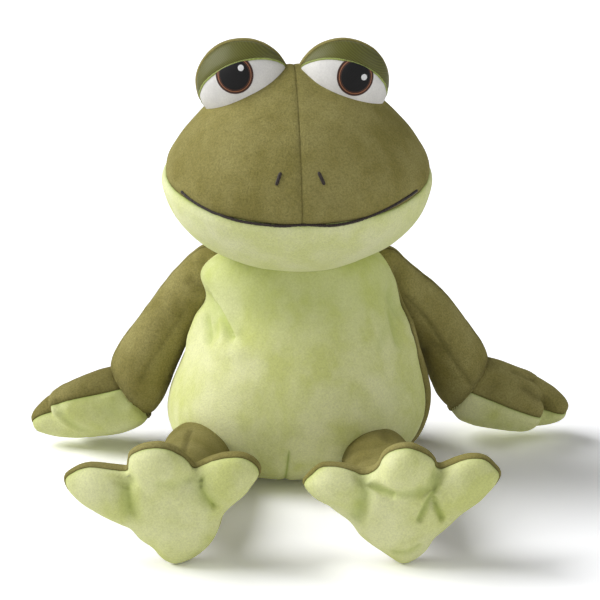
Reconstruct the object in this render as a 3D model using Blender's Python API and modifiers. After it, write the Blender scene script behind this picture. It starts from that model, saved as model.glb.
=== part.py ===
"""A seated plush frog: sewn fabric panels over stuffing, a pellet bag in the seat, limbs that turn."""
import math

import bmesh
import bpy
from mathutils import Matrix, Vector
from mathutils.bvhtree import BVHTree

# Fabric, seams and clearances
skin = 0.0020
seam_gap = 0.0004
layer_gap = 0.0007
fit_gap = 0.0004
socket_gap = 0.0008
thread_lift = 0.0003
flat_cut = 0.0005

# Cutting blocks and tests for a zero length
block_reach = 0.4500
nearly_nothing = 1e-6

# Torso
torso_height = 0.1660
torso_half_width = 0.0925
torso_front = 0.0790
torso_back = 0.0700
side_seam_back = -0.0163
side_seam_lean = math.radians(-13)
side_seam_yaw = math.radians(-12)
# Its left flank is fuller than its right one above this level, and slimmer below it
flank_fullness_share = 0.085
flank_level_share = 0.29
flank_span_share = 0.75
torso_around = 16
torso_along = 10
# height, width, depth, backward shift
torso_row_shares = (
    (0.000, 0.000, 0.000, 0.20),
    (0.002, 0.500, 0.540, 0.18),
    (0.045, 0.820, 0.830, 0.10),
    (0.150, 0.975, 0.970, 0.04),
    (0.290, 0.990, 1.000, 0.00),
    (0.440, 0.890, 0.930, 0.00),
    (0.580, 0.775, 0.800, 0.00),
    (0.700, 0.700, 0.680, 0.00),
    (0.815, 0.650, 0.600, 0.00),
    (0.915, 0.530, 0.500, 0.00),
    (0.980, 0.320, 0.310, 0.00),
    (1.000, 0.000, 0.000, 0.00),
)

# Pellet bag
pellet_radius = 0.0480
pellet_height = 0.0260
pellet_around = 10
pellet_along = 4

# Head
head_rise = 0.2070
head_forward = 0.0120
head_side_shift = -0.0025
head_turned = math.radians(4)
head_half_width = 0.0905
head_half_depth = 0.0740
head_up = 0.0740
head_down = 0.0620
head_taper_share = 0.21
head_taper_start_share = 0.10
head_lean = 0.0050
head_around = 16
head_along = 10
mouth_rise = 0.1915
mouth_slope = math.radians(17)
mouth_half_width = 0.0790
mouth_thread_radius = 0.0009
back_seam_behind = 0.0140
back_seam_lean = math.radians(-8)
nostril_spread = 0.0136
nostril_middle = -0.0033
nostril_rise = 0.2215
nostril_half_length = 0.0044
nostril_slant = math.radians(17)
nostril_thread_radius = 0.0010
nostril_points = 3
neck_cavity_around = 20
neck_cavity_rings = 4
neck_height_share = 0.70
neck_gap = 0.0012

# Eyes
eye_spread = 0.0331
eye_middle = -0.0031
eye_forward_right = 0.0085
eye_forward_left = 0.0120
eye_below_crown = 0.0100
eye_half_width = 0.0310
eye_half_depth = 0.0260
eye_half_height = 0.0288
eye_around = 12
eye_along = 6
eye_back_seam_forward = 0.0030
lid_seam_inward = 0.0055
lid_seam_forward = 0.0195
lid_seam_above = 0.0190
lid_outward_share = 0.228
lid_backward_share = 0.718
lid_upward_share = 0.658
lid_trim_radius = 0.0009
iris_outward = 0.0062
iris_above_right = 0.0092
iris_above_left = 0.0075
iris_radius = 0.0122
pupil_radius = 0.0095
highlight_radius = 0.0021
highlight_across_right = 0.0041
highlight_above_right = 0.0042
highlight_across_left = 0.0054
highlight_above_left = -0.0004
stitch_thickness = 0.0006
disc_around = 12

# Arms
shoulder_spread = 0.0615
shoulder_back = 0.0180
shoulder_rise = 0.1300
wrist_spread = 0.1215
wrist_rise = 0.0430
wrist_back_right = 0.0260
wrist_back_left = 0.0400
arm_radius = 0.0205
arm_around = 10
arm_along = 8
# along, radius, outward bow
arm_row_shares = (
    (-0.190, 0.00, 0.000),
    (-0.135, 0.70, 0.000),
    (0.000, 1.00, 0.000),
    (0.200, 0.97, 0.030),
    (0.400, 0.91, 0.050),
    (0.600, 0.92, 0.050),
    (0.800, 1.00, 0.030),
    (0.950, 1.10, 0.005),
    (1.100, 1.14, 0.000),
    (1.250, 1.08, 0.000),
    (1.350, 0.60, 0.000),
    (1.370, 0.00, 0.000),
)
shoulder_low = math.radians(0)
shoulder_high = math.radians(60)

# Hands
hand_length = 0.0750
hand_middle_share = 0.46
hand_half_thickness = 0.0230
hand_dip_right = math.radians(22)
hand_dip_left = math.radians(17)
hand_roll_right = math.radians(62)
hand_roll_left = math.radians(90)
form_fullness_share = 0.8
wrist_ball = 0.0175
wrist_slope = math.radians(35)
hand_tip_share = 0.62
palm_fullness_share = 0.50
palm_start_share = 0.25
wrist_swing = math.radians(25)
hand_around = 16
hand_along = 4
# share of a turn from the middle finger, reach
hand_outline_shares = (
    (0.000, 0.530),
    (0.035, 0.490),
    (0.070, 0.395),
    (0.105, 0.460),
    (0.145, 0.430),
    (0.200, 0.365),
    (0.270, 0.330),
    (0.350, 0.370),
    (0.400, 0.470),
    (0.440, 0.600),
    (0.470, 0.680),
    (0.500, 0.705),
)

# Legs
hip_spread_right = 0.0650
hip_spread_left = 0.0500
hip_forward_right = 0.0490
hip_forward_left = 0.0580
hip_rise = 0.0235
leg_radius = 0.0225
ankle_radius = 0.0200
leg_around = 10
leg_along = 8
# along, radius
leg_row_shares = (
    (-0.195, 0.00),
    (-0.139, 0.707),
    (0.000, 1.00),
    (0.200, 0.96),
    (0.450, 0.97),
    (0.700, 0.90),
    (0.900, 0.79),
    (1.000, 0.80),
    (1.139, 0.566),
    (1.196, 0.00),
)
hip_down = math.radians(-60)
hip_up = math.radians(10)

# Feet
foot_forward = 0.1800
foot_rise = 0.0410
foot_side_right = -0.0815
foot_side_left = 0.0650
foot_roll_right = math.radians(7)
foot_roll_left = math.radians(-1)
foot_reach = 0.0415
foot_half_thickness = 0.0150
ankle_behind = 0.0180
ankle_below = 0.0060
ankle_swing = math.radians(20)
toe_curl = 0.0080
toe_curl_start_share = 0.35
toe_curl_width_share = 0.6
sole_seam_forward = 0.0030
sole_seam_lean = math.radians(4)
foot_around = 24
foot_along = 4
# share of a turn from the middle toe, reach
foot_outline_shares = (
    (0.000, 1.020),
    (0.040, 0.980),
    (0.088, 0.800),
    (0.134, 0.980),
    (0.174, 1.460),
    (0.204, 1.530),
    (0.224, 1.440),
    (0.257, 1.060),
    (0.300, 0.850),
    (0.370, 0.770),
    (0.440, 0.880),
    (0.500, 1.000),
)

# Ball and socket joints
ball_around = 20
ball_along = 6

# Left is the frog's own left, at +X
sides = {"left": 1, "right": -1}

for old in list(bpy.data.objects):
    bpy.data.objects.remove(old, do_unlink=True)

frog = bpy.data.collections.new("plush_frog")
bpy.context.scene.collection.children.link(frog)
cutters = bpy.data.collections.new("cutters")
bpy.context.scene.collection.children.link(cutters)


def make_material(name, colour, roughness):
    material = bpy.data.materials.new(name)
    material.use_nodes = True
    surface = material.node_tree.nodes["Principled BSDF"]
    surface.inputs["Base Color"].default_value = (*colour, 1)
    surface.inputs["Roughness"].default_value = roughness
    surface.inputs["Metallic"].default_value = 0
    return material


olive = (0.22, 0.20, 0.09)
light_green = (0.50, 0.58, 0.28)
lid_green = (0.09, 0.12, 0.03)
trim_green = (0.33, 0.41, 0.15)
white = (0.80, 0.80, 0.81)
iris_brown = (0.11, 0.05, 0.02)
thread_black = (0.02, 0.015, 0.012)
filling = (0.85, 0.85, 0.82)
bag_cloth = (0.55, 0.52, 0.45)


# Smooth curves through rows of shares
def row_at(rows, share):
    """The row at this share of the way along, on a smooth curve through all of them."""
    last = len(rows) - 1
    place = share * last
    first = min(int(place), last - 1)
    part = place - first
    before = rows[first - 1] if first else mirrored(rows[1])
    after = rows[first + 2] if first + 2 <= last else mirrored(rows[last - 1])
    return [
        curve(a, b, c, d, part)
        for a, b, c, d in zip(before, rows[first], rows[first + 1], after)
    ]


def mirrored(row):
    """A row past a pole: the same height and shift, with its widths turned over."""
    return (row[0], *(-value for value in row[1:-1]), row[-1])


def curve(a, b, c, d, part):
    slope_in = (c - a) / 2
    slope_out = (d - b) / 2
    rise = c - b
    bend = 3 * rise - 2 * slope_in - slope_out
    twist = slope_in + slope_out - 2 * rise
    return b + slope_in * part + bend * part**2 + twist * part**3


# Closed forms: a sphere whose points are moved to their places
def form(place, around, along, grow=0):
    bm = bmesh.new()
    bmesh.ops.create_uvsphere(bm, u_segments=around, v_segments=along, radius=1)
    for vert in bm.verts:
        vert.co = place(vert.co)
    bmesh.ops.triangulate(bm, faces=bm.faces[:])
    bmesh.ops.recalc_face_normals(bm, faces=bm.faces[:])
    bm.normal_update()
    moves = [(vert, vert.normal * grow) for vert in bm.verts]
    for vert, move in moves:
        vert.co += move
    return bm


def height_share(unit):
    return math.acos(max(-1, min(1, -unit.z))) / math.pi


def flat_direction(unit):
    flat = Vector((unit.x, unit.y))
    return flat.normalized() if flat.length > nearly_nothing else flat


def left_flank(rise):
    """How much wider than the right flank the left one is at this share of the height."""
    return 1 + flank_fullness_share * math.sin(math.pi * (rise - flank_level_share) / flank_span_share)


def torso_place(unit):
    rise, width, depth, shift = row_at(torso_row_shares, height_share(unit))
    way = flat_direction(unit)
    reach = torso_front if way.y < 0 else torso_back
    if way.x > 0:
        width *= left_flank(rise)
    return Vector((
        way.x * width * torso_half_width,
        way.y * depth * reach + shift * torso_back,
        rise * torso_height - flat_cut,
    ))


def torso_form(grow=0):
    return form(torso_place, torso_around, torso_along, grow)


head_frame = Matrix.Translation((head_side_shift, 0, 0)) @ Matrix.Rotation(head_turned, 4, "Z")


def head_taper(share):
    up = max(share, 0)
    return 1 - head_taper_share * up * up / (up + head_taper_start_share)


def head_place(unit):
    reach = head_up if unit.z > 0 else head_down
    narrow = head_taper(unit.z)
    return head_frame @ Vector((
        unit.x * head_half_width * narrow,
        unit.y * head_half_depth * narrow - head_forward + unit.z * head_lean,
        head_rise + unit.z * reach,
    ))


def head_form(grow=0):
    return form(head_place, head_around, head_along, grow)


def eye_centre(side):
    rise = head_rise + head_up - eye_below_crown
    forward = eye_forward_left if side > 0 else eye_forward_right
    return head_frame @ Vector((side * eye_spread + eye_middle, -forward, rise))


def eye_form(side, grow=0):
    def place(unit):
        half = Vector((unit.x * eye_half_width, unit.y * eye_half_depth, unit.z * eye_half_height))
        return eye_centre(side) + head_frame.to_3x3() @ half

    return form(place, eye_around, eye_along, grow)


def aimed(along, across):
    """Turns local Z along one direction, with local X as near the other as it can be."""
    z_axis = along.normalized()
    y_axis = z_axis.cross(across).normalized()
    x_axis = y_axis.cross(z_axis)
    return Matrix((x_axis, y_axis, z_axis)).transposed()


def shoulder(side):
    return Vector((side * shoulder_spread, shoulder_back, shoulder_rise))


def wrist(side):
    back = wrist_back_left if side > 0 else wrist_back_right
    return Vector((side * wrist_spread, back, wrist_rise))


def wrist_way(side):
    """The way that the open end of a sleeve faces."""
    return Vector((side * math.cos(wrist_slope), 0, -math.sin(wrist_slope)))


def arm_form(side, grow=0):
    length = (wrist(side) - shoulder(side)).length
    turn = aimed(wrist(side) - shoulder(side), Vector((side, 0, 0)))

    def place(unit):
        along, radius, bow = row_at(arm_row_shares, height_share(unit))
        way = flat_direction(unit) * radius * arm_radius
        return shoulder(side) + turn @ Vector((way.x + bow * length, way.y, along * length))

    bm = form(place, arm_around, arm_along, grow)
    end = wrist(side) + wrist_way(side) * grow
    everything = bm.verts[:] + bm.edges[:] + bm.faces[:]
    bmesh.ops.bisect_plane(bm, geom=everything, plane_co=end, plane_no=wrist_way(side), clear_outer=True)
    rim = [edge for edge in bm.edges if edge.is_boundary]
    bmesh.ops.holes_fill(bm, edges=rim, sides=len(rim))
    bmesh.ops.triangulate(bm, faces=bm.faces[:])
    bmesh.ops.recalc_face_normals(bm, faces=bm.faces[:])
    return bm


def outline_reach(outline, turn_share):
    """The outline's reach at this share of a turn, the same on both sides of its axis."""
    turn_share = min(turn_share, 1 - turn_share)
    for (start, low), (end, high) in zip(outline, outline[1:]):
        if turn_share <= end:
            part = (turn_share - start) / (end - start)
            return low + (high - low) * (3 - 2 * part) * part * part
    return outline[-1][1]


def hand_frame(side):
    """Local Y runs to the fingers and local Z out of the back of the hand."""
    dip = hand_dip_left if side > 0 else hand_dip_right
    along = Vector((side * math.cos(dip), 0, -math.sin(dip)))
    roll = hand_roll_left if side > 0 else hand_roll_right
    back = Vector((0, math.cos(roll), math.sin(roll)))
    across = along.cross(back).normalized()
    back = across.cross(along)
    return Matrix((across, along, back)).transposed()


def hand_centre(side):
    return wrist(side) + hand_frame(side) @ Vector((0, hand_middle_share * hand_length, 0))


def pillow(unit, outline, size, half_thickness):
    turn_share = math.atan2(unit.x, unit.y) / math.tau % 1
    reach = outline_reach(outline, turn_share) * size
    swell = math.copysign(abs(unit.z) ** form_fullness_share, unit.z)
    return Vector((unit.x * reach, unit.y * reach, swell * half_thickness))


def hand_form(side, grow=0):
    def place(unit):
        local = pillow(unit, hand_outline_shares, hand_length, hand_half_thickness)
        towards_tip = local.y / hand_length + hand_middle_share
        local.z *= 1 - (1 - hand_tip_share) * max(0, min(1, towards_tip))
        if local.z < 0:
            started = max(0, min(1, towards_tip / palm_start_share))
            local.z *= 1 + palm_fullness_share * started * max(0, 1 - towards_tip)
        return hand_centre(side) + hand_frame(side) @ local

    return form(place, hand_around, hand_along, grow)


def hip(side):
    if side > 0:
        return Vector((hip_spread_left, -hip_forward_left, hip_rise))
    return Vector((-hip_spread_right, -hip_forward_right, hip_rise))


def foot_centre(side):
    across = foot_side_left if side > 0 else foot_side_right
    return Vector((across, -foot_forward, foot_rise - flat_cut))


def ankle(side):
    return foot_centre(side) + Vector((0, ankle_behind, -ankle_below))


def leg_form(side, grow=0):
    length = (ankle(side) - hip(side)).length
    turn = aimed(ankle(side) - hip(side), Vector((1, 0, 0)))

    def place(unit):
        along, radius, _ = row_at([(*row, 0) for row in leg_row_shares], height_share(unit))
        way = flat_direction(unit) * radius * leg_radius
        return hip(side) + turn @ Vector((way.x, way.y, along * length))

    return form(place, leg_around, leg_along, grow)


def foot_frame(side):
    """Local Y runs up to the middle toe and local Z back from the sole."""
    roll = foot_roll_left if side > 0 else foot_roll_right
    return Matrix.Rotation(-roll, 3, "Y") @ Matrix(((-1, 0, 0), (0, 0, 1), (0, 1, 0)))


def foot_form(side, grow=0):
    def place(unit):
        local = pillow(unit, foot_outline_shares, foot_reach, foot_half_thickness)
        rise = max(0, local.y / foot_reach - toe_curl_start_share)
        near_axis = max(0, 1 - (local.x / (foot_reach * toe_curl_width_share)) ** 2)
        local.z -= toe_curl * rise * near_axis / (1 - toe_curl_start_share)
        return foot_centre(side) + foot_frame(side) @ local

    return form(place, foot_around, foot_along, grow)


def ball(centre, radius, axis):
    """A ball whose poles lie on the axis that it turns about."""
    bm = bmesh.new()
    bmesh.ops.create_uvsphere(bm, u_segments=ball_around, v_segments=ball_along, radius=radius)
    upright = Vector((0, 0, 1)).rotation_difference(axis).to_matrix().to_4x4()
    bmesh.ops.transform(bm, matrix=Matrix.Translation(centre) @ upright, verts=bm.verts)
    bmesh.ops.triangulate(bm, faces=bm.faces[:])
    return bm


# Objects, cutters and modifiers
def new_object(name, bm, collection):
    mesh = bpy.data.meshes.new(name)
    bm.to_mesh(mesh)
    bm.free()
    thing = bpy.data.objects.new(name, mesh)
    collection.objects.link(thing)
    return thing


def cutter(name, bm):
    thing = new_object("cut_" + name, bm, cutters)
    thing.hide_render = True
    thing.display_type = "WIRE"
    return thing


def combine(thing, other, operation):
    step = thing.modifiers.new(other.name, "BOOLEAN")
    step.solver = "EXACT"
    step.operation = operation
    step.object = other


def beyond(name, point, normal, lead=seam_gap / 2):
    """A block that starts a lead short of a plane and lies past it."""
    bm = bmesh.new()
    bmesh.ops.create_cube(bm, size=block_reach)
    upright = Vector((0, 0, 1)).rotation_difference(normal).to_matrix().to_4x4()
    rise = Matrix.Translation((0, 0, block_reach / 2 - lead))
    bmesh.ops.transform(bm, matrix=Matrix.Translation(point) @ upright @ rise, verts=bm.verts)
    return cutter(name, bm)


def seam(name, point, normal):
    """Two blocks that keep the panels on each side of a seam's plane apart."""
    return beyond(name + "_past", point, normal), beyond(name + "_short", point, -normal)


pivots = {}


def add_pivot(name, centre, parent=None):
    pivot = bpy.data.objects.new(name, None)
    pivot.empty_display_size = wrist_ball
    frog.objects.link(pivot)
    if parent:
        pivot.parent = pivots[parent][0]
        pivot.location = centre - pivots[parent][1]
    else:
        pivot.location = centre
    pivots[name] = (pivot, centre)


def add_piece(name, bm, material, pivot, cuts, wall=0):
    """One piece of the toy: a solid form, or a fabric shell of it, less what its neighbours take."""
    if pivot:
        bmesh.ops.translate(bm, vec=-pivots[pivot][1], verts=bm.verts)
    piece = new_object(name, bm, frog)
    if pivot:
        piece.parent = pivots[pivot][0]
    if wall:
        lining = piece.modifiers.new("fabric", "SOLIDIFY")
        lining.thickness = wall
        lining.offset = -1
    for cut in cuts:
        combine(piece, cut, "DIFFERENCE")
    piece.data.shade_smooth()
    piece.data.materials.append(material)
    return piece


def thread(name, points, radius, material, pivot):
    """A sewn thread that lies on the fabric along these points."""
    line = bpy.data.curves.new(name, "CURVE")
    line.dimensions = "3D"
    line.bevel_depth = radius
    line.bevel_resolution = 1
    line.use_fill_caps = True
    spline = line.splines.new("POLY")
    spline.points.add(len(points) - 1)
    for spot, point in zip(spline.points, points):
        spot.co = (*(point - pivots[pivot][1]), 1)
    piece = bpy.data.objects.new(name, line)
    piece.parent = pivots[pivot][0]
    frog.objects.link(piece)
    line.materials.append(material)
    return piece


def seam_line(bm, point, normal, lift):
    """The points of the line where a plane crosses a form, from its lowest one or from its right end."""
    centre = sum((vert.co for vert in bm.verts), Vector()) / len(bm.verts)
    everything = bm.verts[:] + bm.edges[:] + bm.faces[:]
    bmesh.ops.bisect_plane(
        bm, geom=everything, plane_co=point, plane_no=normal, clear_inner=True, clear_outer=True
    )
    bmesh.ops.remove_doubles(bm, verts=bm.verts, dist=lift)
    ends = [vert for vert in bm.verts if len(vert.link_edges) == 1]
    if ends:
        here = min(ends, key=lambda vert: vert.co.x)
    else:
        here = min(bm.verts, key=lambda vert: vert.co.z)
    line = [here]
    while True:
        onward = [edge.other_vert(here) for edge in here.link_edges]
        onward = [vert for vert in onward if vert not in line]
        if not onward:
            break
        here = min(onward, key=lambda vert: vert.co.x)
        line.append(here)
    spots = [vert.co.copy() for vert in line]
    bm.free()
    lifted = []
    for i, spot in enumerate(spots):
        before = spots[i - 1] if i or not ends else spot
        after = spots[(i + 1) % len(spots)] if i + 1 < len(spots) or not ends else spot
        sides_out = [normal.cross(step).normalized() for step in (spot - before, after - spot)]
        outward = (sides_out[0] + sides_out[1]).normalized()
        stretch = max(outward.dot(way) for way in sides_out)
        if outward.dot(spot - centre) < 0:
            outward = -outward
        lifted.append(spot + outward * lift / stretch)
    return lifted


def on_surface(tree, start, way, lift):
    """The point where a ray from inside a form leaves it, lifted off the fabric."""
    point, normal, _, _ = tree.ray_cast(start, way)
    return point + normal * lift


add_pivot("head_pivot", Vector((0, 0, torso_height)))
for word, side in sides.items():
    add_pivot("shoulder_pivot_" + word, shoulder(side))
    add_pivot("wrist_pivot_" + word, wrist(side), "shoulder_pivot_" + word)
    add_pivot("hip_pivot_" + word, hip(side))
    add_pivot("ankle_pivot_" + word, ankle(side), "hip_pivot_" + word)


# Floor, which every form that stands is cut flat on
floor = beyond("floor", Vector((0, 0, 0)), Vector((0, 0, -1)), 0)

# Sockets for the limbs, and the space that the torso needs as a limb turns
x_axis = Vector((1, 0, 0))
y_axis = Vector((0, 1, 0))


def swept(name, make_form, centre, axis, low, high, radius):
    """The larger piece's form, turned back to both ends of the joint's range, without the ball."""
    ends = []
    for angle in (low, high):
        bm = make_form(fit_gap)
        turn = Matrix.Rotation(-angle, 4, axis)
        around = Matrix.Translation(centre) @ turn @ Matrix.Translation(-centre)
        bmesh.ops.transform(bm, matrix=around, verts=bm.verts)
        ends.append(cutter(f"{name}_{len(ends)}", bm))
    combine(ends[0], ends[1], "UNION")
    core = cutter(name + "_ball", ball(centre, radius + fit_gap, axis))
    combine(ends[0], core, "DIFFERENCE")
    return ends[0]


torso_cuts = [floor]
arm_root_cuts = {}
sleeve_end_cuts = {}
hand_root_cuts = {}
leg_root_cuts = {}
foot_socket_cuts = {}
leg_end_cuts = {}
for word, side in sides.items():
    arm_ball = arm_radius
    socket = cutter("shoulder_socket_" + word, ball(shoulder(side), arm_ball + socket_gap, y_axis))
    torso_cuts.append(socket)
    # Raising the left arm turns it the other way about Y than raising the right one
    raise_low, raise_high = sorted((-side * shoulder_low, -side * shoulder_high))
    arm_root_cuts[word] = swept(
        "arm_room_" + word, torso_form, shoulder(side), y_axis, raise_low, raise_high, arm_ball
    )
    sleeve_end_cuts[word] = cutter(
        "wrist_socket_" + word, ball(wrist(side), wrist_ball + socket_gap, y_axis)
    )
    hand_root_cuts[word] = swept(
        "hand_room_" + word,
        lambda grow, side=side: arm_form(side, grow),
        wrist(side), y_axis, -wrist_swing, wrist_swing, wrist_ball,
    )
    torso_cuts.append(cutter("hip_socket_" + word, ball(hip(side), leg_radius + socket_gap, x_axis)))
    leg_root_cuts[word] = swept(
        "leg_room_" + word, torso_form, hip(side), x_axis, -hip_up, -hip_down, leg_radius
    )
    foot_socket_cuts[word] = cutter(
        "ankle_socket_" + word, ball(ankle(side), ankle_radius + socket_gap, x_axis)
    )
    leg_end_cuts[word] = swept(
        "leg_end_room_" + word,
        lambda grow, side=side: foot_form(side, grow),
        ankle(side), x_axis, -ankle_swing, ankle_swing, ankle_radius,
    )

# Torso: a belly panel and two back panels round the stuffing, with the pellet bag in the seat
side_normal = Vector((
    math.sin(-side_seam_yaw),
    math.cos(side_seam_yaw) * math.cos(side_seam_lean),
    math.sin(side_seam_lean),
))
side_past, side_short = seam("side_seam", Vector((0, side_seam_back, 0)), side_normal)
centre_past, centre_short = seam("back_seam", Vector((0, 0, 0)), x_axis)

add_piece(
    "belly", torso_form(), make_material("belly", light_green, 0.9), None,
    [side_past, *torso_cuts], skin,
)
add_piece(
    "back_left", torso_form(), make_material("back_left", olive, 0.9), None,
    [side_short, centre_short, *torso_cuts], skin,
)
add_piece(
    "back_right", torso_form(), make_material("back_right", olive, 0.9), None,
    [side_short, centre_past, *torso_cuts], skin,
)


def pellet_room(grow):
    bm = bmesh.new()
    bmesh.ops.create_uvsphere(bm, u_segments=pellet_around, v_segments=pellet_along, radius=1)
    size = Matrix.Diagonal((pellet_radius + grow, pellet_radius + grow, pellet_height + grow, 1))
    bmesh.ops.transform(bm, matrix=size, verts=bm.verts)
    bmesh.ops.triangulate(bm, faces=bm.faces[:])
    return bm


inside = -skin - layer_gap
pellet_shape = cutter("pellet_shape", pellet_room(0))
pellet_space = cutter("pellet_space", pellet_room(layer_gap))
add_piece(
    "body_stuffing", torso_form(inside), make_material("body_stuffing", filling, 0.95), None,
    [*torso_cuts, pellet_space],
)
pellet_bag = add_piece(
    "pellet_bag", torso_form(inside), make_material("pellet_bag", bag_cloth, 0.8), None, torso_cuts,
)
combine(pellet_bag, pellet_shape, "INTERSECT")


# Head: two crown panels, a chin and a back round the stuffing, turning on the neck
def neck_room():
    """A turned shape that the neck fills, with room to turn the head."""
    bm = bmesh.new()
    bmesh.ops.create_uvsphere(bm, u_segments=neck_cavity_around, v_segments=neck_cavity_rings, radius=1)
    for vert in bm.verts:
        share = neck_height_share + (1 - neck_height_share) * height_share(vert.co)
        rise, width, depth, _ = row_at(torso_row_shares, share)
        reach = max(width * left_flank(rise) * torso_half_width, depth * torso_front)
        way = flat_direction(vert.co)
        vert.co = Vector((way.x * reach, way.y * reach, rise * torso_height - flat_cut))
    bmesh.ops.triangulate(bm, faces=bm.faces[:])
    bmesh.ops.recalc_face_normals(bm, faces=bm.faces[:])
    bm.normal_update()
    moves = [(vert, vert.normal * neck_gap) for vert in bm.verts]
    for vert, move in moves:
        vert.co += move
    return bm


neck = cutter("neck_room", neck_room())
turned = head_frame.to_3x3()
mouth_normal = turned @ Vector((0, -math.sin(mouth_slope), math.cos(mouth_slope)))
mouth_front = head_frame @ Vector((0, -head_forward - head_half_depth, mouth_rise))
mouth_past, mouth_short = seam("mouth_seam", mouth_front, mouth_normal)
nape_normal = turned @ Vector((0, math.cos(back_seam_lean), math.sin(back_seam_lean)))
nape_point = head_frame @ Vector((0, back_seam_behind, head_rise))
nape_past, nape_short = seam("nape_seam", nape_point, nape_normal)
crest_past, crest_short = seam("crest_seam", head_frame @ Vector((0, 0, head_rise)), turned @ x_axis)

add_piece(
    "crown_left", head_form(), make_material("crown_left", olive, 0.9), "head_pivot",
    [mouth_short, nape_past, crest_short, neck], skin,
)
add_piece(
    "crown_right", head_form(), make_material("crown_right", olive, 0.9), "head_pivot",
    [mouth_short, nape_past, crest_past, neck], skin,
)
add_piece(
    "chin", head_form(), make_material("chin", light_green, 0.9), "head_pivot",
    [mouth_past, nape_past, neck], skin,
)
add_piece(
    "head_back", head_form(), make_material("head_back", olive, 0.9), "head_pivot",
    [nape_short, neck], skin,
)
add_piece(
    "head_stuffing", head_form(inside), make_material("head_stuffing", filling, 0.95), "head_pivot",
    [neck],
)

# Mouth line and nostrils, sewn on the crown
head_tree_mesh = head_form()
head_tree = BVHTree.FromBMesh(head_tree_mesh)
head_tree_mesh.free()


def head_point(target, lift):
    """The head's surface at a place given by its width and height, seen from the front."""
    start = head_frame @ Vector((target[0], -head_forward, target[1]))
    return on_surface(head_tree, start, turned @ Vector((0, -1, 0)), lift)


thread_material = make_material("mouth_line", thread_black, 0.6)
face_front = head_form()
corner_depth = -head_forward - head_half_depth * math.sqrt(1 - (mouth_half_width / head_half_width) ** 2)
everything = face_front.verts[:] + face_front.edges[:] + face_front.faces[:]
bmesh.ops.bisect_plane(
    face_front, geom=everything, plane_co=head_frame @ Vector((0, corner_depth, 0)),
    plane_no=turned @ y_axis, clear_outer=True,
)
mouth_line_points = seam_line(
    face_front, mouth_front, mouth_normal.normalized(), mouth_thread_radius + thread_lift
)
thread("mouth_line", mouth_line_points, mouth_thread_radius, thread_material, "head_pivot")
for word, side in sides.items():
    points = []
    for i in range(nostril_points):
        run = nostril_half_length * (1 - 2 * i / (nostril_points - 1))
        target = (
            side * (nostril_spread - run * math.sin(nostril_slant)) + nostril_middle,
            nostril_rise + run * math.cos(nostril_slant),
        )
        points.append(head_point(target, nostril_thread_radius + thread_lift))
    thread(
        "nostril_" + word, points, nostril_thread_radius,
        make_material("nostril_" + word, thread_black, 0.6), "head_pivot",
    )

# Eyes: a stuffed dome sewn into the crown, with a lid, a trim and embroidery on its front
crown_room = cutter("crown_room", head_form(fit_gap))


def clear_of_crown(spot):
    nearest, normal, _, _ = head_tree.find_nearest(spot)
    return (spot - nearest).dot(normal) > lid_trim_radius + fit_gap


def rod(name, centre, radius):
    """A cylinder through the front of an eye, along the way that the head faces."""
    bm = bmesh.new()
    bmesh.ops.create_cone(
        bm, cap_ends=True, segments=disc_around, radius1=radius, radius2=radius, depth=eye_half_depth * 2
    )
    upright = (turned @ y_axis).rotation_difference(Vector((0, 0, 1))).inverted().to_matrix().to_4x4()
    middle = centre - turned @ y_axis * eye_half_depth
    bmesh.ops.transform(bm, matrix=Matrix.Translation(middle) @ upright, verts=bm.verts)
    return cutter(name, bm)


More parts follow.
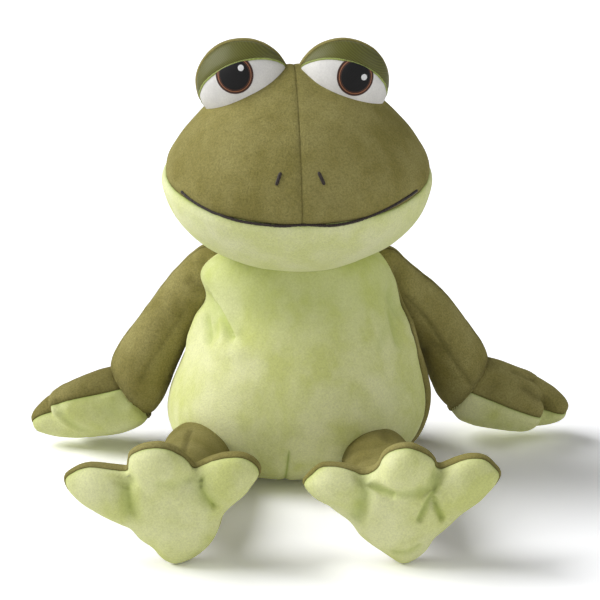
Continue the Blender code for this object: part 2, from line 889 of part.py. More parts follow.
for word, side in sides.items():
    centre = eye_centre(side)
    lid_normal = turned @ Vector((side * lid_outward_share, lid_backward_share, lid_upward_share))
    lid_normal.normalize()
    lid_point = centre + turned @ Vector((-side * lid_seam_inward, -lid_seam_forward, lid_seam_above))
    lid_past, lid_short = seam("lid_seam_" + word, lid_point, lid_normal)
    rim_point = centre + turned @ Vector((0, -eye_back_seam_forward, 0))
    rim_past, rim_short = seam("eye_seam_" + word, rim_point, turned @ y_axis)
    add_piece(
        "eye_white_" + word, eye_form(side), make_material("eye_white_" + word, white, 0.85),
        "head_pivot", [lid_past, rim_past, crown_room], skin,
    )
    add_piece(
        "eyelid_" + word, eye_form(side), make_material("eyelid_" + word, lid_green, 0.6),
        "head_pivot", [lid_short, rim_past, crown_room], skin,
    )
    add_piece(
        "eye_back_" + word, eye_form(side), make_material("eye_back_" + word, olive, 0.9),
        "head_pivot", [rim_short, crown_room], skin,
    )
    add_piece(
        "eye_stuffing_" + word, eye_form(side, inside),
        make_material("eye_stuffing_" + word, filling, 0.95), "head_pivot", [crown_room],
    )

    # The trim lies on the edge of the lid, as far as it stands clear of the crown
    trim = [
        spot for spot in seam_line(
            eye_form(side), lid_point, lid_normal, lid_trim_radius + thread_lift
        )
        if clear_of_crown(spot)
    ]
    thread(
        "eyelid_trim_" + word, trim, lid_trim_radius,
        make_material("eyelid_trim_" + word, trim_green, 0.8), "head_pivot",
    )

    # Iris, pupil and highlight are embroidered, so each is a thin patch of the dome's own curve
    above = iris_above_left if side > 0 else iris_above_right
    iris_centre = centre + turned @ Vector((side * iris_outward, 0, above))
    if side > 0:
        glint = iris_centre + turned @ Vector((highlight_across_left, 0, highlight_above_left))
    else:
        glint = iris_centre + turned @ Vector((highlight_across_right, 0, highlight_above_right))
    lid_edge = beyond(
        "lid_edge_" + word, lid_point - lid_normal * (lid_trim_radius + fit_gap), lid_normal
    )
    outer = rod("iris_rod_" + word, iris_centre, iris_radius)
    inner = rod("iris_hole_" + word, iris_centre, pupil_radius + seam_gap)
    pupil_rod = rod("pupil_rod_" + word, iris_centre, pupil_radius)
    glint_rod = rod("highlight_rod_" + word, glint, highlight_radius)
    first_stitches = thread_lift + stitch_thickness
    upper_stitches = first_stitches + thread_lift + stitch_thickness
    for name, grow, colour, keep, cuts in (
        ("iris_", first_stitches, iris_brown, outer, [inner, lid_edge, crown_room]),
        ("pupil_", first_stitches, thread_black, pupil_rod, [lid_edge, crown_room]),
        ("highlight_", upper_stitches, white, glint_rod, [lid_edge]),
    ):
        patch = add_piece(
            name + word, eye_form(side, grow), make_material(name + word, colour, 0.6),
            "head_pivot", [], stitch_thickness,
        )
        combine(patch, keep, "INTERSECT")
        for cut in cuts:
            combine(patch, cut, "DIFFERENCE")

# Arms and hands
for word, side in sides.items():
    pivot = "shoulder_pivot_" + word
    arm_way = (wrist(side) - shoulder(side)).normalized()
    arm_normal = (y_axis - arm_way * y_axis.dot(arm_way)).normalized()
    sleeve_past, sleeve_short = seam("sleeve_seam_" + word, shoulder(side), arm_normal)
    ends = [arm_root_cuts[word], sleeve_end_cuts[word]]
    sleeve_inside = cutter("sleeve_inside_" + word, arm_form(side, -skin))
    add_piece(
        "sleeve_front_" + word, arm_form(side), make_material("sleeve_front_" + word, olive, 0.9),
        pivot, [sleeve_past, sleeve_inside, *ends],
    )
    add_piece(
        "sleeve_back_" + word, arm_form(side), make_material("sleeve_back_" + word, olive, 0.9),
        pivot, [sleeve_short, sleeve_inside, *ends],
    )
    add_piece(
        "arm_stuffing_" + word, arm_form(side, inside),
        make_material("arm_stuffing_" + word, filling, 0.95), pivot, ends,
    )
    pivot = "wrist_pivot_" + word
    back_way = hand_frame(side) @ Vector((0, 0, 1))
    palm_past, palm_short = seam("palm_seam_" + word, hand_centre(side), back_way)
    add_piece(
        "hand_back_" + word, hand_form(side), make_material("hand_back_" + word, olive, 0.9),
        pivot, [palm_short, hand_root_cuts[word]], skin,
    )
    add_piece(
        "palm_" + word, hand_form(side), make_material("palm_" + word, light_green, 0.9),
        pivot, [palm_past, hand_root_cuts[word]], skin,
    )
    add_piece(
        "hand_stuffing_" + word, hand_form(side, inside),
        make_material("hand_stuffing_" + word, filling, 0.95), pivot, [hand_root_cuts[word]],
    )

# Legs and feet
sole_normal = Vector((0, math.cos(sole_seam_lean), math.sin(sole_seam_lean)))
for word, side in sides.items():
    pivot = "hip_pivot_" + word
    leg_way = (ankle(side) - hip(side)).normalized()
    leg_normal = (Vector((0, 0, 1)) - leg_way * leg_way.z).normalized()
    leg_past, leg_short = seam("leg_seam_" + word, hip(side), leg_normal)
    ends = [leg_root_cuts[word], leg_end_cuts[word]]
    add_piece(
        "leg_top_" + word, leg_form(side), make_material("leg_top_" + word, olive, 0.9),
        pivot, [leg_short, *ends], skin,
    )
    add_piece(
        "leg_under_" + word, leg_form(side), make_material("leg_under_" + word, olive, 0.9),
        pivot, [leg_past, *ends], skin,
    )
    add_piece(
        "leg_stuffing_" + word, leg_form(side, inside),
        make_material("leg_stuffing_" + word, filling, 0.95), pivot, ends,
    )
    pivot = "ankle_pivot_" + word
    sole_past, sole_short = seam(
        "sole_seam_" + word, foot_centre(side) - y_axis * sole_seam_forward, sole_normal
    )
    socket = [foot_socket_cuts[word]]
    add_piece(
        "foot_top_" + word, foot_form(side), make_material("foot_top_" + word, olive, 0.9),
        pivot, [sole_short, floor, *socket], skin,
    )
    add_piece(
        "sole_" + word, foot_form(side), make_material("sole_" + word, light_green, 0.9),
        pivot, [sole_past, floor, *socket], skin,
    )
    add_piece(
        "foot_stuffing_" + word, foot_form(side, inside),
        make_material("foot_stuffing_" + word, filling, 0.95), pivot, [floor, *socket],
    )
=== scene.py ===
"""A seated plush frog in a pale studio: short pile panels over soft filling, with embroidered eyes."""
import math

import bmesh
import bpy
import numpy as np
from mathutils import Matrix, Vector, noise
from mathutils.bvhtree import BVHTree


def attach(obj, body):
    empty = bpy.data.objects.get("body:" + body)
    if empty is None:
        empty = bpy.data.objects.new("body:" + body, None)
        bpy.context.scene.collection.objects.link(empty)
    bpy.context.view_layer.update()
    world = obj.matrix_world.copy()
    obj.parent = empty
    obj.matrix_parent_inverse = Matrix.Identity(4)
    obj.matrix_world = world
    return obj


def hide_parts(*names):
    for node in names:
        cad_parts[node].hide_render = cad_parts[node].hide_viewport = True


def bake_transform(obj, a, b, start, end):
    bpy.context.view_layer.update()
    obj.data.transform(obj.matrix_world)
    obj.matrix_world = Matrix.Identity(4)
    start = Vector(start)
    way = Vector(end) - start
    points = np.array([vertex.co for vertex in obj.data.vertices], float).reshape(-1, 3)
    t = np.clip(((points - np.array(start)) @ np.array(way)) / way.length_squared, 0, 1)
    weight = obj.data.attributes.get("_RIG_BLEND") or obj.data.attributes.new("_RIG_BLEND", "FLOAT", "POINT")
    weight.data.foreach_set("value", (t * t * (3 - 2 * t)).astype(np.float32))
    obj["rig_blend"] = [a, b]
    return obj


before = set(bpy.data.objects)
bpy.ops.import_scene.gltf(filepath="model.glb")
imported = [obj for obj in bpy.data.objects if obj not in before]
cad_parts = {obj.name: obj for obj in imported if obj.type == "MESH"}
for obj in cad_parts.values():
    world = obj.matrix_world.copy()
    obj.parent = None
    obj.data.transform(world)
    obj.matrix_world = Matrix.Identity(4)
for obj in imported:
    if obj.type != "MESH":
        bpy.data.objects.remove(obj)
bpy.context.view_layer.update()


# Camera, studio light and floor. The toy was photographed from a little above, on a white table,
# under one large soft light at the upper left, with a white room all round it.
camera_rise = math.radians(17)
camera_distance = 1.5
camera_aim = Vector((0, 0, 0.11625))


def placed(name, data):
    """A new object with this data, in the scene."""
    thing = bpy.data.objects.new(name, data)
    bpy.context.scene.collection.objects.link(thing)
    return thing


def wire(tree, node, inputs):
    """Gives a node's inputs these values, or links them to these outputs of other nodes."""
    for label, value in inputs.items():
        if isinstance(value, bpy.types.NodeSocket):
            tree.links.new(value, node.inputs[label])
        else:
            node.inputs[label].default_value = value


def added(tree, kind, inputs, **settings):
    """A new shader node, set and wired up."""
    node = tree.nodes.new(kind)
    for name, value in settings.items():
        setattr(node, name, value)
    wire(tree, node, inputs)
    return node


def by_ray(tree, to_light, to_camera):
    """One shader for the light that bounces about, and another for what the camera sees."""
    rays = added(tree, "ShaderNodeLightPath", {})
    shaders = {0: rays.outputs["Is Camera Ray"], 1: to_light.outputs[0], 2: to_camera.outputs[0]}
    return added(tree, "ShaderNodeMixShader", shaders).outputs[0]


camera_data = bpy.data.cameras.new("studio_camera")
camera_data.lens = 130.7
camera_data.sensor_width = 36
camera = placed("studio_camera", camera_data)
camera.location = camera_aim + camera_distance * Vector((0, -math.cos(camera_rise), math.sin(camera_rise)))
camera.rotation_euler = (math.pi / 2 - camera_rise, 0, 0)
bpy.context.scene.camera = camera
bpy.context.scene.view_settings.view_transform = "Standard"

for name, towards, strength, softness in (
    ("soft_key", (-0.754, 0.133, 0.643), 3.08, 40),
    ("left_front_fill", (-0.663, -0.557, 0.500), 0.42, 60),
    ("right_fill", (0.840, -0.100, 0.533), 0.82, 55),
    ("front_fill", (0.000, -0.990, 0.140), 0.70, 40),
):
    light_data = bpy.data.lights.new(name, "SUN")
    light_data.energy = strength
    light_data.angle = math.radians(softness)
    light = placed(name, light_data)
    light.rotation_euler = Vector(towards).to_track_quat("Z", "Y").to_euler()

world = bpy.data.worlds.new("white_room")
world.use_nodes = True
bpy.context.scene.world = world
room = world.node_tree
room_light = room.nodes["Background"]
wire(room, room_light, {"Color": (0.97, 0.985, 1.0, 1), "Strength": 0.01})
room_seen = added(room, "ShaderNodeBackground", {"Color": (1, 1, 1, 1), "Strength": 1.0})
wire(room, room.nodes["World Output"], {"Surface": by_ray(room, room_light, room_seen)})

table = bmesh.new()
bmesh.ops.create_grid(table, x_segments=1, y_segments=1, size=6)
table_mesh = bpy.data.meshes.new("table")
table.to_mesh(table_mesh)
table.free()
table_top = placed("table", table_mesh)
table_paint = bpy.data.materials.new("table_white")
table_paint.use_nodes = True
paint = table_paint.node_tree
matt = paint.nodes["Principled BSDF"]
wire(paint, matt, {"Base Color": (0.93, 0.93, 0.935, 1), "Roughness": 1, "Specular IOR Level": 0})
# To the camera alone the table reflects more, so that it is white beside grey shadows
bright = added(paint, "ShaderNodeBsdfDiffuse", {"Color": (0.455, 0.46, 0.49, 1)})
unseen = added(paint, "ShaderNodeBsdfDiffuse", {"Color": (0, 0, 0, 1)})
both = added(paint, "ShaderNodeAddShader", {0: matt.outputs[0], 1: by_ray(paint, unseen, bright)})
wire(paint, paint.nodes["Material Output"], {"Surface": both.outputs[0]})
table_mesh.materials.append(table_paint)


# Torso. A pale green belly panel is sewn to two olive back panels down the sides, with tucks where
# the arms pull at it and a dart at the bottom. Loose fibre fills it, over a bag of pellets.
torso_height = 0.1660
torso_half_width = 0.0925
torso_front = 0.0790
torso_back = 0.0700
# The left flank is fuller than the right one above this level, and slimmer below it
flank_fullness = 0.085
flank_level = 0.29
flank_span = 0.75
# Under the right arm's root the belly panel is pulled out to the side
corner_fullness = 0.16
corner_level = 0.84
corner_span = 0.075
flat_cut = 0.0005
# Painted shade: the top of the belly panel is painted darker from this height up, where the chin shades it
chin_shade = 0.32
chin_shade_from = 0.088
chin_shade_span = 0.050
torso_rows = (
    (0.000, 0.000, 0.000, 0.20),
    (0.002, 0.500, 0.540, 0.18),
    (0.045, 0.820, 0.830, 0.10),
    (0.150, 0.975, 0.970, 0.04),
    (0.290, 0.990, 1.000, 0.00),
    (0.440, 0.890, 0.930, 0.00),
    (0.580, 0.775, 0.800, 0.00),
    (0.700, 0.700, 0.680, 0.00),
    (0.815, 0.650, 0.600, 0.00),
    (0.915, 0.530, 0.500, 0.00),
    (0.980, 0.320, 0.310, 0.00),
    (1.000, 0.000, 0.000, 0.00),
)
pile = 0.0016
# How dark the painted shade in a fold's crease is
fold_darkness = 0.6
# The picture that places in pixels belong to is square, and this many pixels wide
picture_size = 600
sides = {"left": 1, "right": -1}
x_axis = Vector((1, 0, 0))
y_axis = Vector((0, 1, 0))


def srgb(red, green, blue):
    """A colour as it looks on screen, turned into the renderer's own light values."""
    shares = (
        (v / 255 / 12.92) if v <= 10 else ((v / 255 + 0.055) / 1.055) ** 2.4 for v in (red, green, blue)
    )
    return (*shares, 1)


def limited(value):
    """The value, kept from 0 to 1."""
    return max(0, min(1, value))


def bell(value):
    """1 at zero, falling away smoothly on both sides of it."""
    return math.exp(-(value**2))


def eased(low, high, slope_in, slope_out, part):
    """The place this part of the way along a smooth curve with these ends and slopes."""
    rise = high - low
    bend = 3 * rise - 2 * slope_in - slope_out
    twist = slope_in + slope_out - 2 * rise
    return low + slope_in * part + bend * part**2 + twist * part**3


def row_at(rows, share):
    """The row at this share of the way along, on a smooth curve through all of them."""
    last = len(rows) - 1
    place = share * last
    first = min(int(place), last - 1)
    part = place - first

    def past_pole(row):
        return (row[0], *(-value for value in row[1:-1]), row[-1])

    before = rows[first - 1] if first else past_pole(rows[1])
    after = rows[first + 2] if first + 2 <= last else past_pole(rows[last - 1])
    columns = zip(before, rows[first], rows[first + 1], after)
    return [eased(b, c, (c - a) / 2, (d - b) / 2, part) for a, b, c, d in columns]


def height_share(unit):
    return math.acos(max(-1, min(1, -unit.z))) / math.pi


def flat_direction(unit):
    flat = Vector((unit.x, unit.y))
    return flat.normalized() if flat.length > 1e-6 else flat


def face_outward(bm):
    bm.normal_update()
    if bm.calc_volume(signed=True) < 0:
        bmesh.ops.reverse_faces(bm, faces=bm.faces[:])
    bm.normal_update()


def stuffed_form(around, along, place):
    """A closed swelling form: a sphere whose points move to their places."""
    bm = bmesh.new()
    bmesh.ops.create_uvsphere(bm, u_segments=around, v_segments=along, radius=1)
    bm.verts.layers.float.new("crease_shade")
    bm.verts.layers.float.new("painted_shade")
    for vert in bm.verts:
        vert.co = place(vert.co)
    face_outward(bm)
    return bm


def seen(tree, pixel):
    """The place on a form that shows at this pixel of the square picture."""
    scale = camera_data.sensor_width / camera_data.lens / picture_size
    centre = picture_size / 2
    way = Vector(((pixel[0] - centre) * scale, (centre - pixel[1]) * scale, -1))
    way = camera.rotation_euler.to_matrix() @ way
    spot, _, _, _ = tree.ray_cast(camera.location, way.normalized())
    if spot is None:
        spot = tree.find_nearest(camera.location + way * camera_distance)[0]
    return spot


def distance_to_run(points, run):
    """How far each point is from a run of straight pieces."""
    nearest = np.full(len(points), 9.0)
    for start, end in zip(run, run[1:]):
        a, step = np.array(start), np.array(end - start)
        part = np.clip((points - a) @ step / max(step @ step, 1e-12), 0, 1)
        nearest = np.minimum(nearest, np.linalg.norm(points - a - part[:, None] * step, axis=1))
    return nearest


def move_points(moves):
    """Moves each point by its own step."""
    for vert, move in moves:
        vert.co += move


def press(bm, folds):
    """Pushes the fabric in along folds, each a run of picture places, a width and a depth, and paints shade
    into the ones pushed in.
    """
    bm.normal_update()
    tree = BVHTree.FromBMesh(bm)
    points = np.array([vert.co for vert in bm.verts])
    crease_shade = bm.verts.layers.float["crease_shade"]
    push = np.zeros(len(points))
    swell = np.zeros(len(points))
    shade = np.zeros(len(points))
    for pixels, width, depth in folds:
        run = [seen(tree, pixel) for pixel in pixels]
        if len(run) == 1:
            run.append(run[0] + Vector((1e-5, 0, 0)))
        near = np.exp(-((distance_to_run(points, run) / width) ** 2))
        if depth < 0:
            swell += depth * near
        else:
            push = np.maximum(push, depth * near)
            shade = np.maximum(shade, near * min(1, depth / width))
    move_points([(vert, vert.normal * -amount) for vert, amount in zip(bm.verts, push + swell)])
    # Painted shade in the folds' creases
    for vert, dark_share in zip(bm.verts, shade):
        vert[crease_shade] = max(vert[crease_shade], dark_share * fold_darkness)


def cut(bm, point, normal, **options):
    everything = bm.verts[:] + bm.edges[:] + bm.faces[:]
    bmesh.ops.bisect_plane(bm, geom=everything, plane_co=point, plane_no=normal, **options)


def seam(bm, point, normal, width=0.0022):
    """Cuts the mesh where a seam runs, adds loops beside it, and notes each side of it."""
    normal = normal.normalized()
    for lead in (-3, -1.4, -0.6, 0, 0.6, 1.4, 3):
        cut(bm, point + normal * lead * width, normal, dist=1e-5)
    sides_noted = bm.faces.layers.int.get("sides") or bm.faces.layers.int.new("sides")
    number = sum(1 for key in bm.verts.layers.float.keys() if key.startswith("off_seam"))
    off_seam = bm.verts.layers.float.new(f"off_seam_{number}")
    for vert in bm.verts:
        vert[off_seam] = (vert.co - point).dot(normal)
    for face in bm.faces:
        if (face.calc_center_median() - point).dot(normal) > 0:
            face[sides_noted] |= 1 << number
    return number


def gather(bm, number, depth=0.0014, width=0.0022, where=None, seam_shade=1):
    """Draws the fabric in along a seam, with puckers at its stitches and a line of painted shade in it."""
    bm.normal_update()
    off_seam = bm.verts.layers.float[f"off_seam_{number}"]
    crease_shade = bm.verts.layers.float["crease_shade"]
    moves = []
    for vert in bm.verts:
        away = abs(vert[off_seam])
        if away > width * 8:
            continue
        share = where(vert.co) if where else 1
        pucker = 1 + 0.45 * noise.noise(vert.co * 160) + 0.3 * noise.noise(vert.co * 420)
        groove = depth * math.exp(-away / width)
        swell = depth * 0.35 * bell((away / width - 3) / 1.8)
        moves.append((vert, vert.normal * (swell - groove * pucker) * share))
        vert[crease_shade] = max(vert[crease_shade], math.exp(-away / width / 0.6) * share * seam_shade)
    move_points(moves)


def lumps(bm, height=0.0007, fineness=26):
    """The soft unevenness of hand-filled fibre."""
    bm.normal_update()
    moves = []
    for vert in bm.verts:
        bump = noise.noise(vert.co * fineness) + 0.5 * noise.noise(vert.co * fineness * 2.7)
        moves.append((vert, vert.normal * bump * height))
    move_points(moves)


def stand_flat(bm, share_left=0.02):
    """Flattens what a form rests on, on the table."""
    for vert in bm.verts:
        if vert.co.z < 0:
            vert.co.z *= share_left


def as_object(name, bm, material):
    mesh = bpy.data.meshes.new(name)
    bm.to_mesh(mesh)
    bm.free()
    mesh.shade_smooth()
    mesh.materials.append(material)
    return placed(name, mesh)


def made_mesh(thing):
    """The mesh that an object's modifiers or bevel make."""
    bpy.context.view_layer.update()
    return bpy.data.meshes.new_from_object(thing.evaluated_get(bpy.context.evaluated_depsgraph_get()))


def panel(name, form, on_sides, cloth, node, moves):
    """One fabric panel, as thick as its pile: the form's skin on the given sides of its seams."""
    material, slot = cloth
    bm = form.copy()
    noted = bm.faces.layers.int["sides"]
    others = [
        face for face in bm.faces
        if any(bool(face[noted] >> number & 1) != beyond for number, beyond in on_sides.items())
    ]
    bmesh.ops.delete(bm, geom=others, context="FACES")
    piece = as_object(name, bm, material)
    fabric = piece.modifiers.new("fabric", "SOLIDIFY")
    fabric.thickness = pile
    fabric.offset = -1
    mesh = made_mesh(piece)
    piece.modifiers.clear()
    piece.data = mesh
    moves(piece)
    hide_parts(node)


def filling(name, form, node, moves, depth=0.0046):
    """The fibre inside a form, everywhere at least this deep under its skin."""
    bm = form.copy()
    bm.normal_update()
    skin = BVHTree.FromBMesh(form)
    move_points([(vert, vert.normal * -depth) for vert in bm.verts])
    for _ in range(3):
        for vert in bm.verts:
            nearest, outward, _, _ = skin.find_nearest(vert.co)
            too_near = (vert.co - nearest).dot(outward) + depth
            if too_near > 0:
                vert.co -= outward * too_near
    piece = as_object(name, bm, fibre)
    moves(piece)
    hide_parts(node)


def sewn_up(form, part, word, moves, panels):
    """The panels of an eye or a limb on this side of the toy, sewn up over their fibre."""
    for piece, on_sides, cloth in panels:
        panel(f"{piece}_panel_{word}", form, on_sides, cloth, f"{piece}_{word}", moves)
    filling(f"{part}_filling_{word}", form, f"{part}_stuffing_{word}", moves)


def riding(body):
    return lambda piece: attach(piece, body)


def bending(first, second, joint, way, before, beyond):
    """Bends with two bodies, from this far before their joint to this far beyond it."""
    start, end = tuple(joint - way * before), tuple(joint + way * beyond)
    return lambda piece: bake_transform(piece, first, second, start=start, end=end)


def pattern_group(name, **inputs):
    """A shader group that gives a colour and a height. Its inputs are colours, turns or numbers."""
    group = bpy.data.node_groups.new(name, "ShaderNodeTree")
    kinds = {4: "Color", 3: "Vector", 1: "Float"}
    for label, value in inputs.items():
        kind = "NodeSocket" + kinds[len(value) if isinstance(value, tuple) else 1]
        group.interface.new_socket(label, in_out="INPUT", socket_type=kind).default_value = value
    group.interface.new_socket("Colour", in_out="OUTPUT", socket_type="NodeSocketColor")
    group.interface.new_socket("Height", in_out="OUTPUT", socket_type="NodeSocketFloat")
    return group


def patterned(name, group, finish, strength, relief_depth, **inputs):
    """A material whose colour and relief come from a shader group, on a cloth with this finish."""
    material = bpy.data.materials.new(name)
    material.use_nodes = True
    tree = material.node_tree
    pattern = added(tree, "ShaderNodeGroup", inputs, node_tree=group)
    relief = {"Height": pattern.outputs["Height"], "Strength": strength, "Distance": relief_depth}
    bump = added(tree, "ShaderNodeBump", relief)
    wire(tree, tree.nodes["Principled BSDF"], {
        "Base Color": pattern.outputs["Colour"], "Normal": bump.outputs["Normal"], **finish,
    })
    return material


def mixed(tree, factor, first, second):
    """Two colours mixed by a factor."""
    colours = {"Factor": factor, "A": first, "B": second}
    return added(tree, "ShaderNodeMix", colours, data_type="RGBA").outputs["Result"]


def build_pile_group():
    """Short brushed pile: soft patches where it lies another way, streaks, and single tufts, with painted
    shade in creases and shaded places.
    """
    grey = (0.5, 0.5, 0.5, 1)
    group = pattern_group("short_pile", Colour=grey, Brushed=grey, Deep=grey, Tuft=0.20)
    given = added(group, "NodeGroupInput", {}).outputs
    place = added(group, "ShaderNodeTexCoord", {}).outputs["Object"]

    def cloud(scale, detail, roughness, source=place):
        inputs = {"Vector": source, "Scale": scale, "Detail": detail, "Roughness": roughness}
        return added(group, "ShaderNodeTexNoise", inputs).outputs["Fac"]

    def spread(source, low, high, to_low=0.0, to_high=1.0):
        inputs = {"Value": source, "From Min": low, "From Max": high, "To Min": to_low, "To Max": to_high}
        return added(group, "ShaderNodeMapRange", inputs).outputs["Result"]

    def worked_out(operation, *values):
        return added(group, "ShaderNodeMath", dict(enumerate(values)), operation=operation).outputs[0]

    def marked(name):
        return added(group, "ShaderNodeAttribute", {}, attribute_name=name).outputs["Fac"]

    stretched = added(group, "ShaderNodeMapping", {"Vector": place, "Scale": (1.0, 1.0, 0.45)})
    patches = spread(cloud(30, 3, 0.55), 0.42, 0.66)
    streaks = spread(cloud(60, 3, 0.6, stretched.outputs["Vector"]), 0.40, 0.70, 0.0, 0.6)
    tufts = cloud(780, 2, 0.6)
    grit = cloud(1900, 1, 0.5)
    brushed = mixed(group, patches, given["Colour"], given["Brushed"])
    brushed = mixed(group, streaks, brushed, given["Brushed"])
    tuft_light = spread(tufts, 0.32, 0.68, -1.0, 1.0)
    grit_light = spread(grit, 0.30, 0.70, -0.6, 0.6)
    light = worked_out("ADD", tuft_light, grit_light)
    speckle = worked_out("MULTIPLY_ADD", light, given["Tuft"], 1.0)
    speckled = added(group, "ShaderNodeVectorMath", {0: brushed, "Scale": speckle}, operation="SCALE")
    # Painted shade: marked places and creases are mixed towards the shaded colour
    with_painted_shade = mixed(group, marked("painted_shade"), speckled.outputs["Vector"], given["Deep"])
    with_crease_shade = spread(marked("crease_shade"), 0.0, 1.0, 0.0, 0.85)
    added(group, "NodeGroupOutput", {
        "Colour": mixed(group, with_crease_shade, with_painted_shade, given["Deep"]),
        "Height": worked_out("MULTIPLY_ADD", grit, 0.35, tufts),
    })
    return group


short_pile = build_pile_group()


def plush(name, colour, brushed, deep, tuft=0.10, sheen=0.30, bump=0.55):
    """A short pile cloth. Its bump is about as deep as the pile's tufts, and its deep colour is painted
    shade for creases and shaded places.
    """
    finish = {
        "Roughness": 0.95, "Specular IOR Level": 0.15,
        "Sheen Weight": sheen, "Sheen Roughness": 0.45, "Sheen Tint": brushed,
    }
    looks = {"Colour": colour, "Brushed": brushed, "Deep": deep, "Tuft": tuft}
    return patterned(name, short_pile, finish, bump, relief_depth=0.0006, **looks)


# Each cloth is a material with its slot. Its deep colour is painted shade, and both greens have the same one
shaded_green = srgb(154, 172, 76)
olive = (plush(
    "olive_plush", srgb(134, 126, 70), srgb(154, 146, 91), srgb(66, 59, 26), tuft=0.17, bump=0.8,
), "olive_plush")
green = (plush(
    "light_green_plush", srgb(209, 214, 137), srgb(228, 230, 176), shaded_green, tuft=0.07, sheen=0.42,
), "light_green_plush")
# A lighter copy of the light green pile for the chin: painted light, as the chin is lit more than the belly
lit_green = (plush(
    "pale_green_plush", srgb(222, 227, 158), srgb(236, 238, 192), shaded_green, tuft=0.07, sheen=0.42,
), "light_green_plush")
fibre = plush("white_fibre", srgb(232, 232, 228), srgb(245, 245, 243), srgb(200, 200, 196))


def torso_place(unit):
    rise, width, depth, shift = row_at(torso_rows, height_share(unit))
    way = flat_direction(unit)
    reach = torso_front if way.y < 0 else torso_back
    if way.x > 0:
        width *= 1 + flank_fullness * math.sin(math.pi * (rise - flank_level) / flank_span)
    else:
        width *= 1 + corner_fullness * way.x ** 2 * bell((rise - corner_level) / corner_span)
    return Vector((
        way.x * width * torso_half_width,
        way.y * depth * reach + shift * torso_back,
        rise * torso_height - flat_cut,
    ))


# Runs of picture places in pixels, with each fold's width and depth
belly_folds = (
    (((208, 300), (212, 316), (214, 330)), 0.006, 0.004),
    (((212, 300), (220, 316), (231, 336)), 0.0032, 0.0052),
    (((214, 296), (226, 312), (238, 332)), 0.003, -0.002),
    (((206, 318), (209, 340)), 0.0032, 0.004),
    (((192, 318), (190, 334)), 0.011, -0.0042),
    (((220, 322), (226, 340)), 0.0032, -0.0016),
    (((204, 342), (222, 352), (240, 352)), 0.005, -0.0014),
    (((232, 322), (240, 334)), 0.005, 0.0014),
    (((393, 296), (398, 308)), 0.007, 0.0048),
    (((392, 312), (396, 330), (399, 342)), 0.0045, 0.003),
    (((386, 330), (380, 346)), 0.004, 0.0016),
    (((410, 322), (414, 340)), 0.01, -0.002),
    (((398, 398), (380, 412)), 0.005, 0.0009),
    (((410, 380), (392, 396)), 0.005, 0.0008),
)
side_lean = math.radians(-13)
side_yaw = math.radians(12)
side_normal = Vector((math.sin(side_yaw), math.cos(side_yaw) * math.cos(side_lean), math.sin(side_lean)))
side_point = Vector((0, -0.0163, 0))
torso = stuffed_form(around=120, along=84, place=torso_place)
side_seam = seam(torso, side_point, side_normal)
back_seam = seam(torso, Vector(), x_axis)
dart_top = 0.036
dart_seam = seam(torso, Vector((-0.0095, 0, 0.012)), Vector((1, 0, -0.10)), width=0.0014)
press(torso, belly_folds)
lumps(torso, height=0.0008)
gather(torso, side_seam, depth=0.0016)
gather(torso, back_seam, depth=0.0013, width=0.0020, where=lambda co: 1 if co.y > 0.02 else 0)


def along_the_dart(co):
    return limited((dart_top - co.z) / 0.004) if co.y < 0 and co.z > 0.002 else 0


gather(torso, dart_seam, depth=0.0011, width=0.0014, where=along_the_dart)
stand_flat(torso)
# Painted shade on the front of the torso, under the chin
painted_shade = torso.verts.layers.float["painted_shade"]
for vert in torso.verts:
    if vert.co.y < 0:
        under_chin = limited((vert.co.z - chin_shade_from) / chin_shade_span)
        vert[painted_shade] = chin_shade * under_chin * under_chin * (3 - 2 * under_chin)
on_torso = riding("torso")
panel("belly_panel", torso, {side_seam: False}, green, "belly", on_torso)
for word, side in sides.items():
    on_sides = {side_seam: True, back_seam: side > 0}
    panel(f"back_panel_{word}", torso, on_sides, olive, f"back_{word}", on_torso)
filling("body_filling", torso, "body_stuffing", on_torso)
torso.free()

bag_cloth = plush("bag_cloth", srgb(196, 190, 172), srgb(206, 200, 184), srgb(150, 144, 128), tuft=0.05)
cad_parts["pellet_bag"].material_slots[0].material = bag_cloth


# Head. Two olive crown panels meet in a seam down the face, over a pale green chin that swells
# below the mouth, with an olive panel behind. The mouth and nostrils are sewn in black thread.
head_rise = 0.2070
head_forward = 0.0120
head_shift = -0.0025
head_turned = math.radians(4)
head_half_width = 0.0905
head_half_depth = 0.0740
head_up = 0.0740
head_down = 0.0620
crown_narrowing = 0.21
crown_lean = 0.0050
head_frame = Matrix.Translation((head_shift, 0, 0)) @ Matrix.Rotation(head_turned, 4, "Z")
turned = head_frame.to_3x3()
mouth_rise = 0.1915
mouth_slope = math.radians(17)
mouth_normal = turned @ Vector((0, -math.sin(mouth_slope), math.cos(mouth_slope)))
mouth_front = head_frame @ Vector((0, -head_forward - head_half_depth, mouth_rise))
nape_lean = math.radians(-8)
nape_normal = turned @ Vector((0, math.cos(nape_lean), math.sin(nape_lean)))
nape_point = head_frame @ Vector((0, 0.0140, head_rise))


def head_place(unit):
    up = max(unit.z, 0)
    narrow = 1 - crown_narrowing * up * up / (up + 0.10)
    reach = head_up if unit.z > 0 else head_down
    return head_frame @ Vector((
        unit.x * head_half_width * narrow,
        unit.y * head_half_depth * narrow - head_forward + unit.z * crown_lean,
        head_rise + unit.z * reach,
    ))


head_folds = (
    (((291, 68), (296, 78)), 0.012, -0.0016),
    (((330, 196), (345, 210)), 0.005, 0.001),
    (((316, 190), (322, 202)), 0.004, 0.0009),
    (((304, 150), (305, 190)), 0.009, 0.0008),
)
head = stuffed_form(around=128, along=88, place=head_place)
crest_point = head_frame @ Vector((-0.0020, 0, head_rise))
crest_seam = seam(head, crest_point, turned @ x_axis, width=0.0016)
mouth_seam = seam(head, mouth_front, mouth_normal)
nape_seam = seam(head, nape_point, nape_normal, width=0.0020)


def over_the_crown(co):
    return 1 if (co - nape_point).dot(nape_normal) < 0 < (co - mouth_front).dot(mouth_normal) else 0


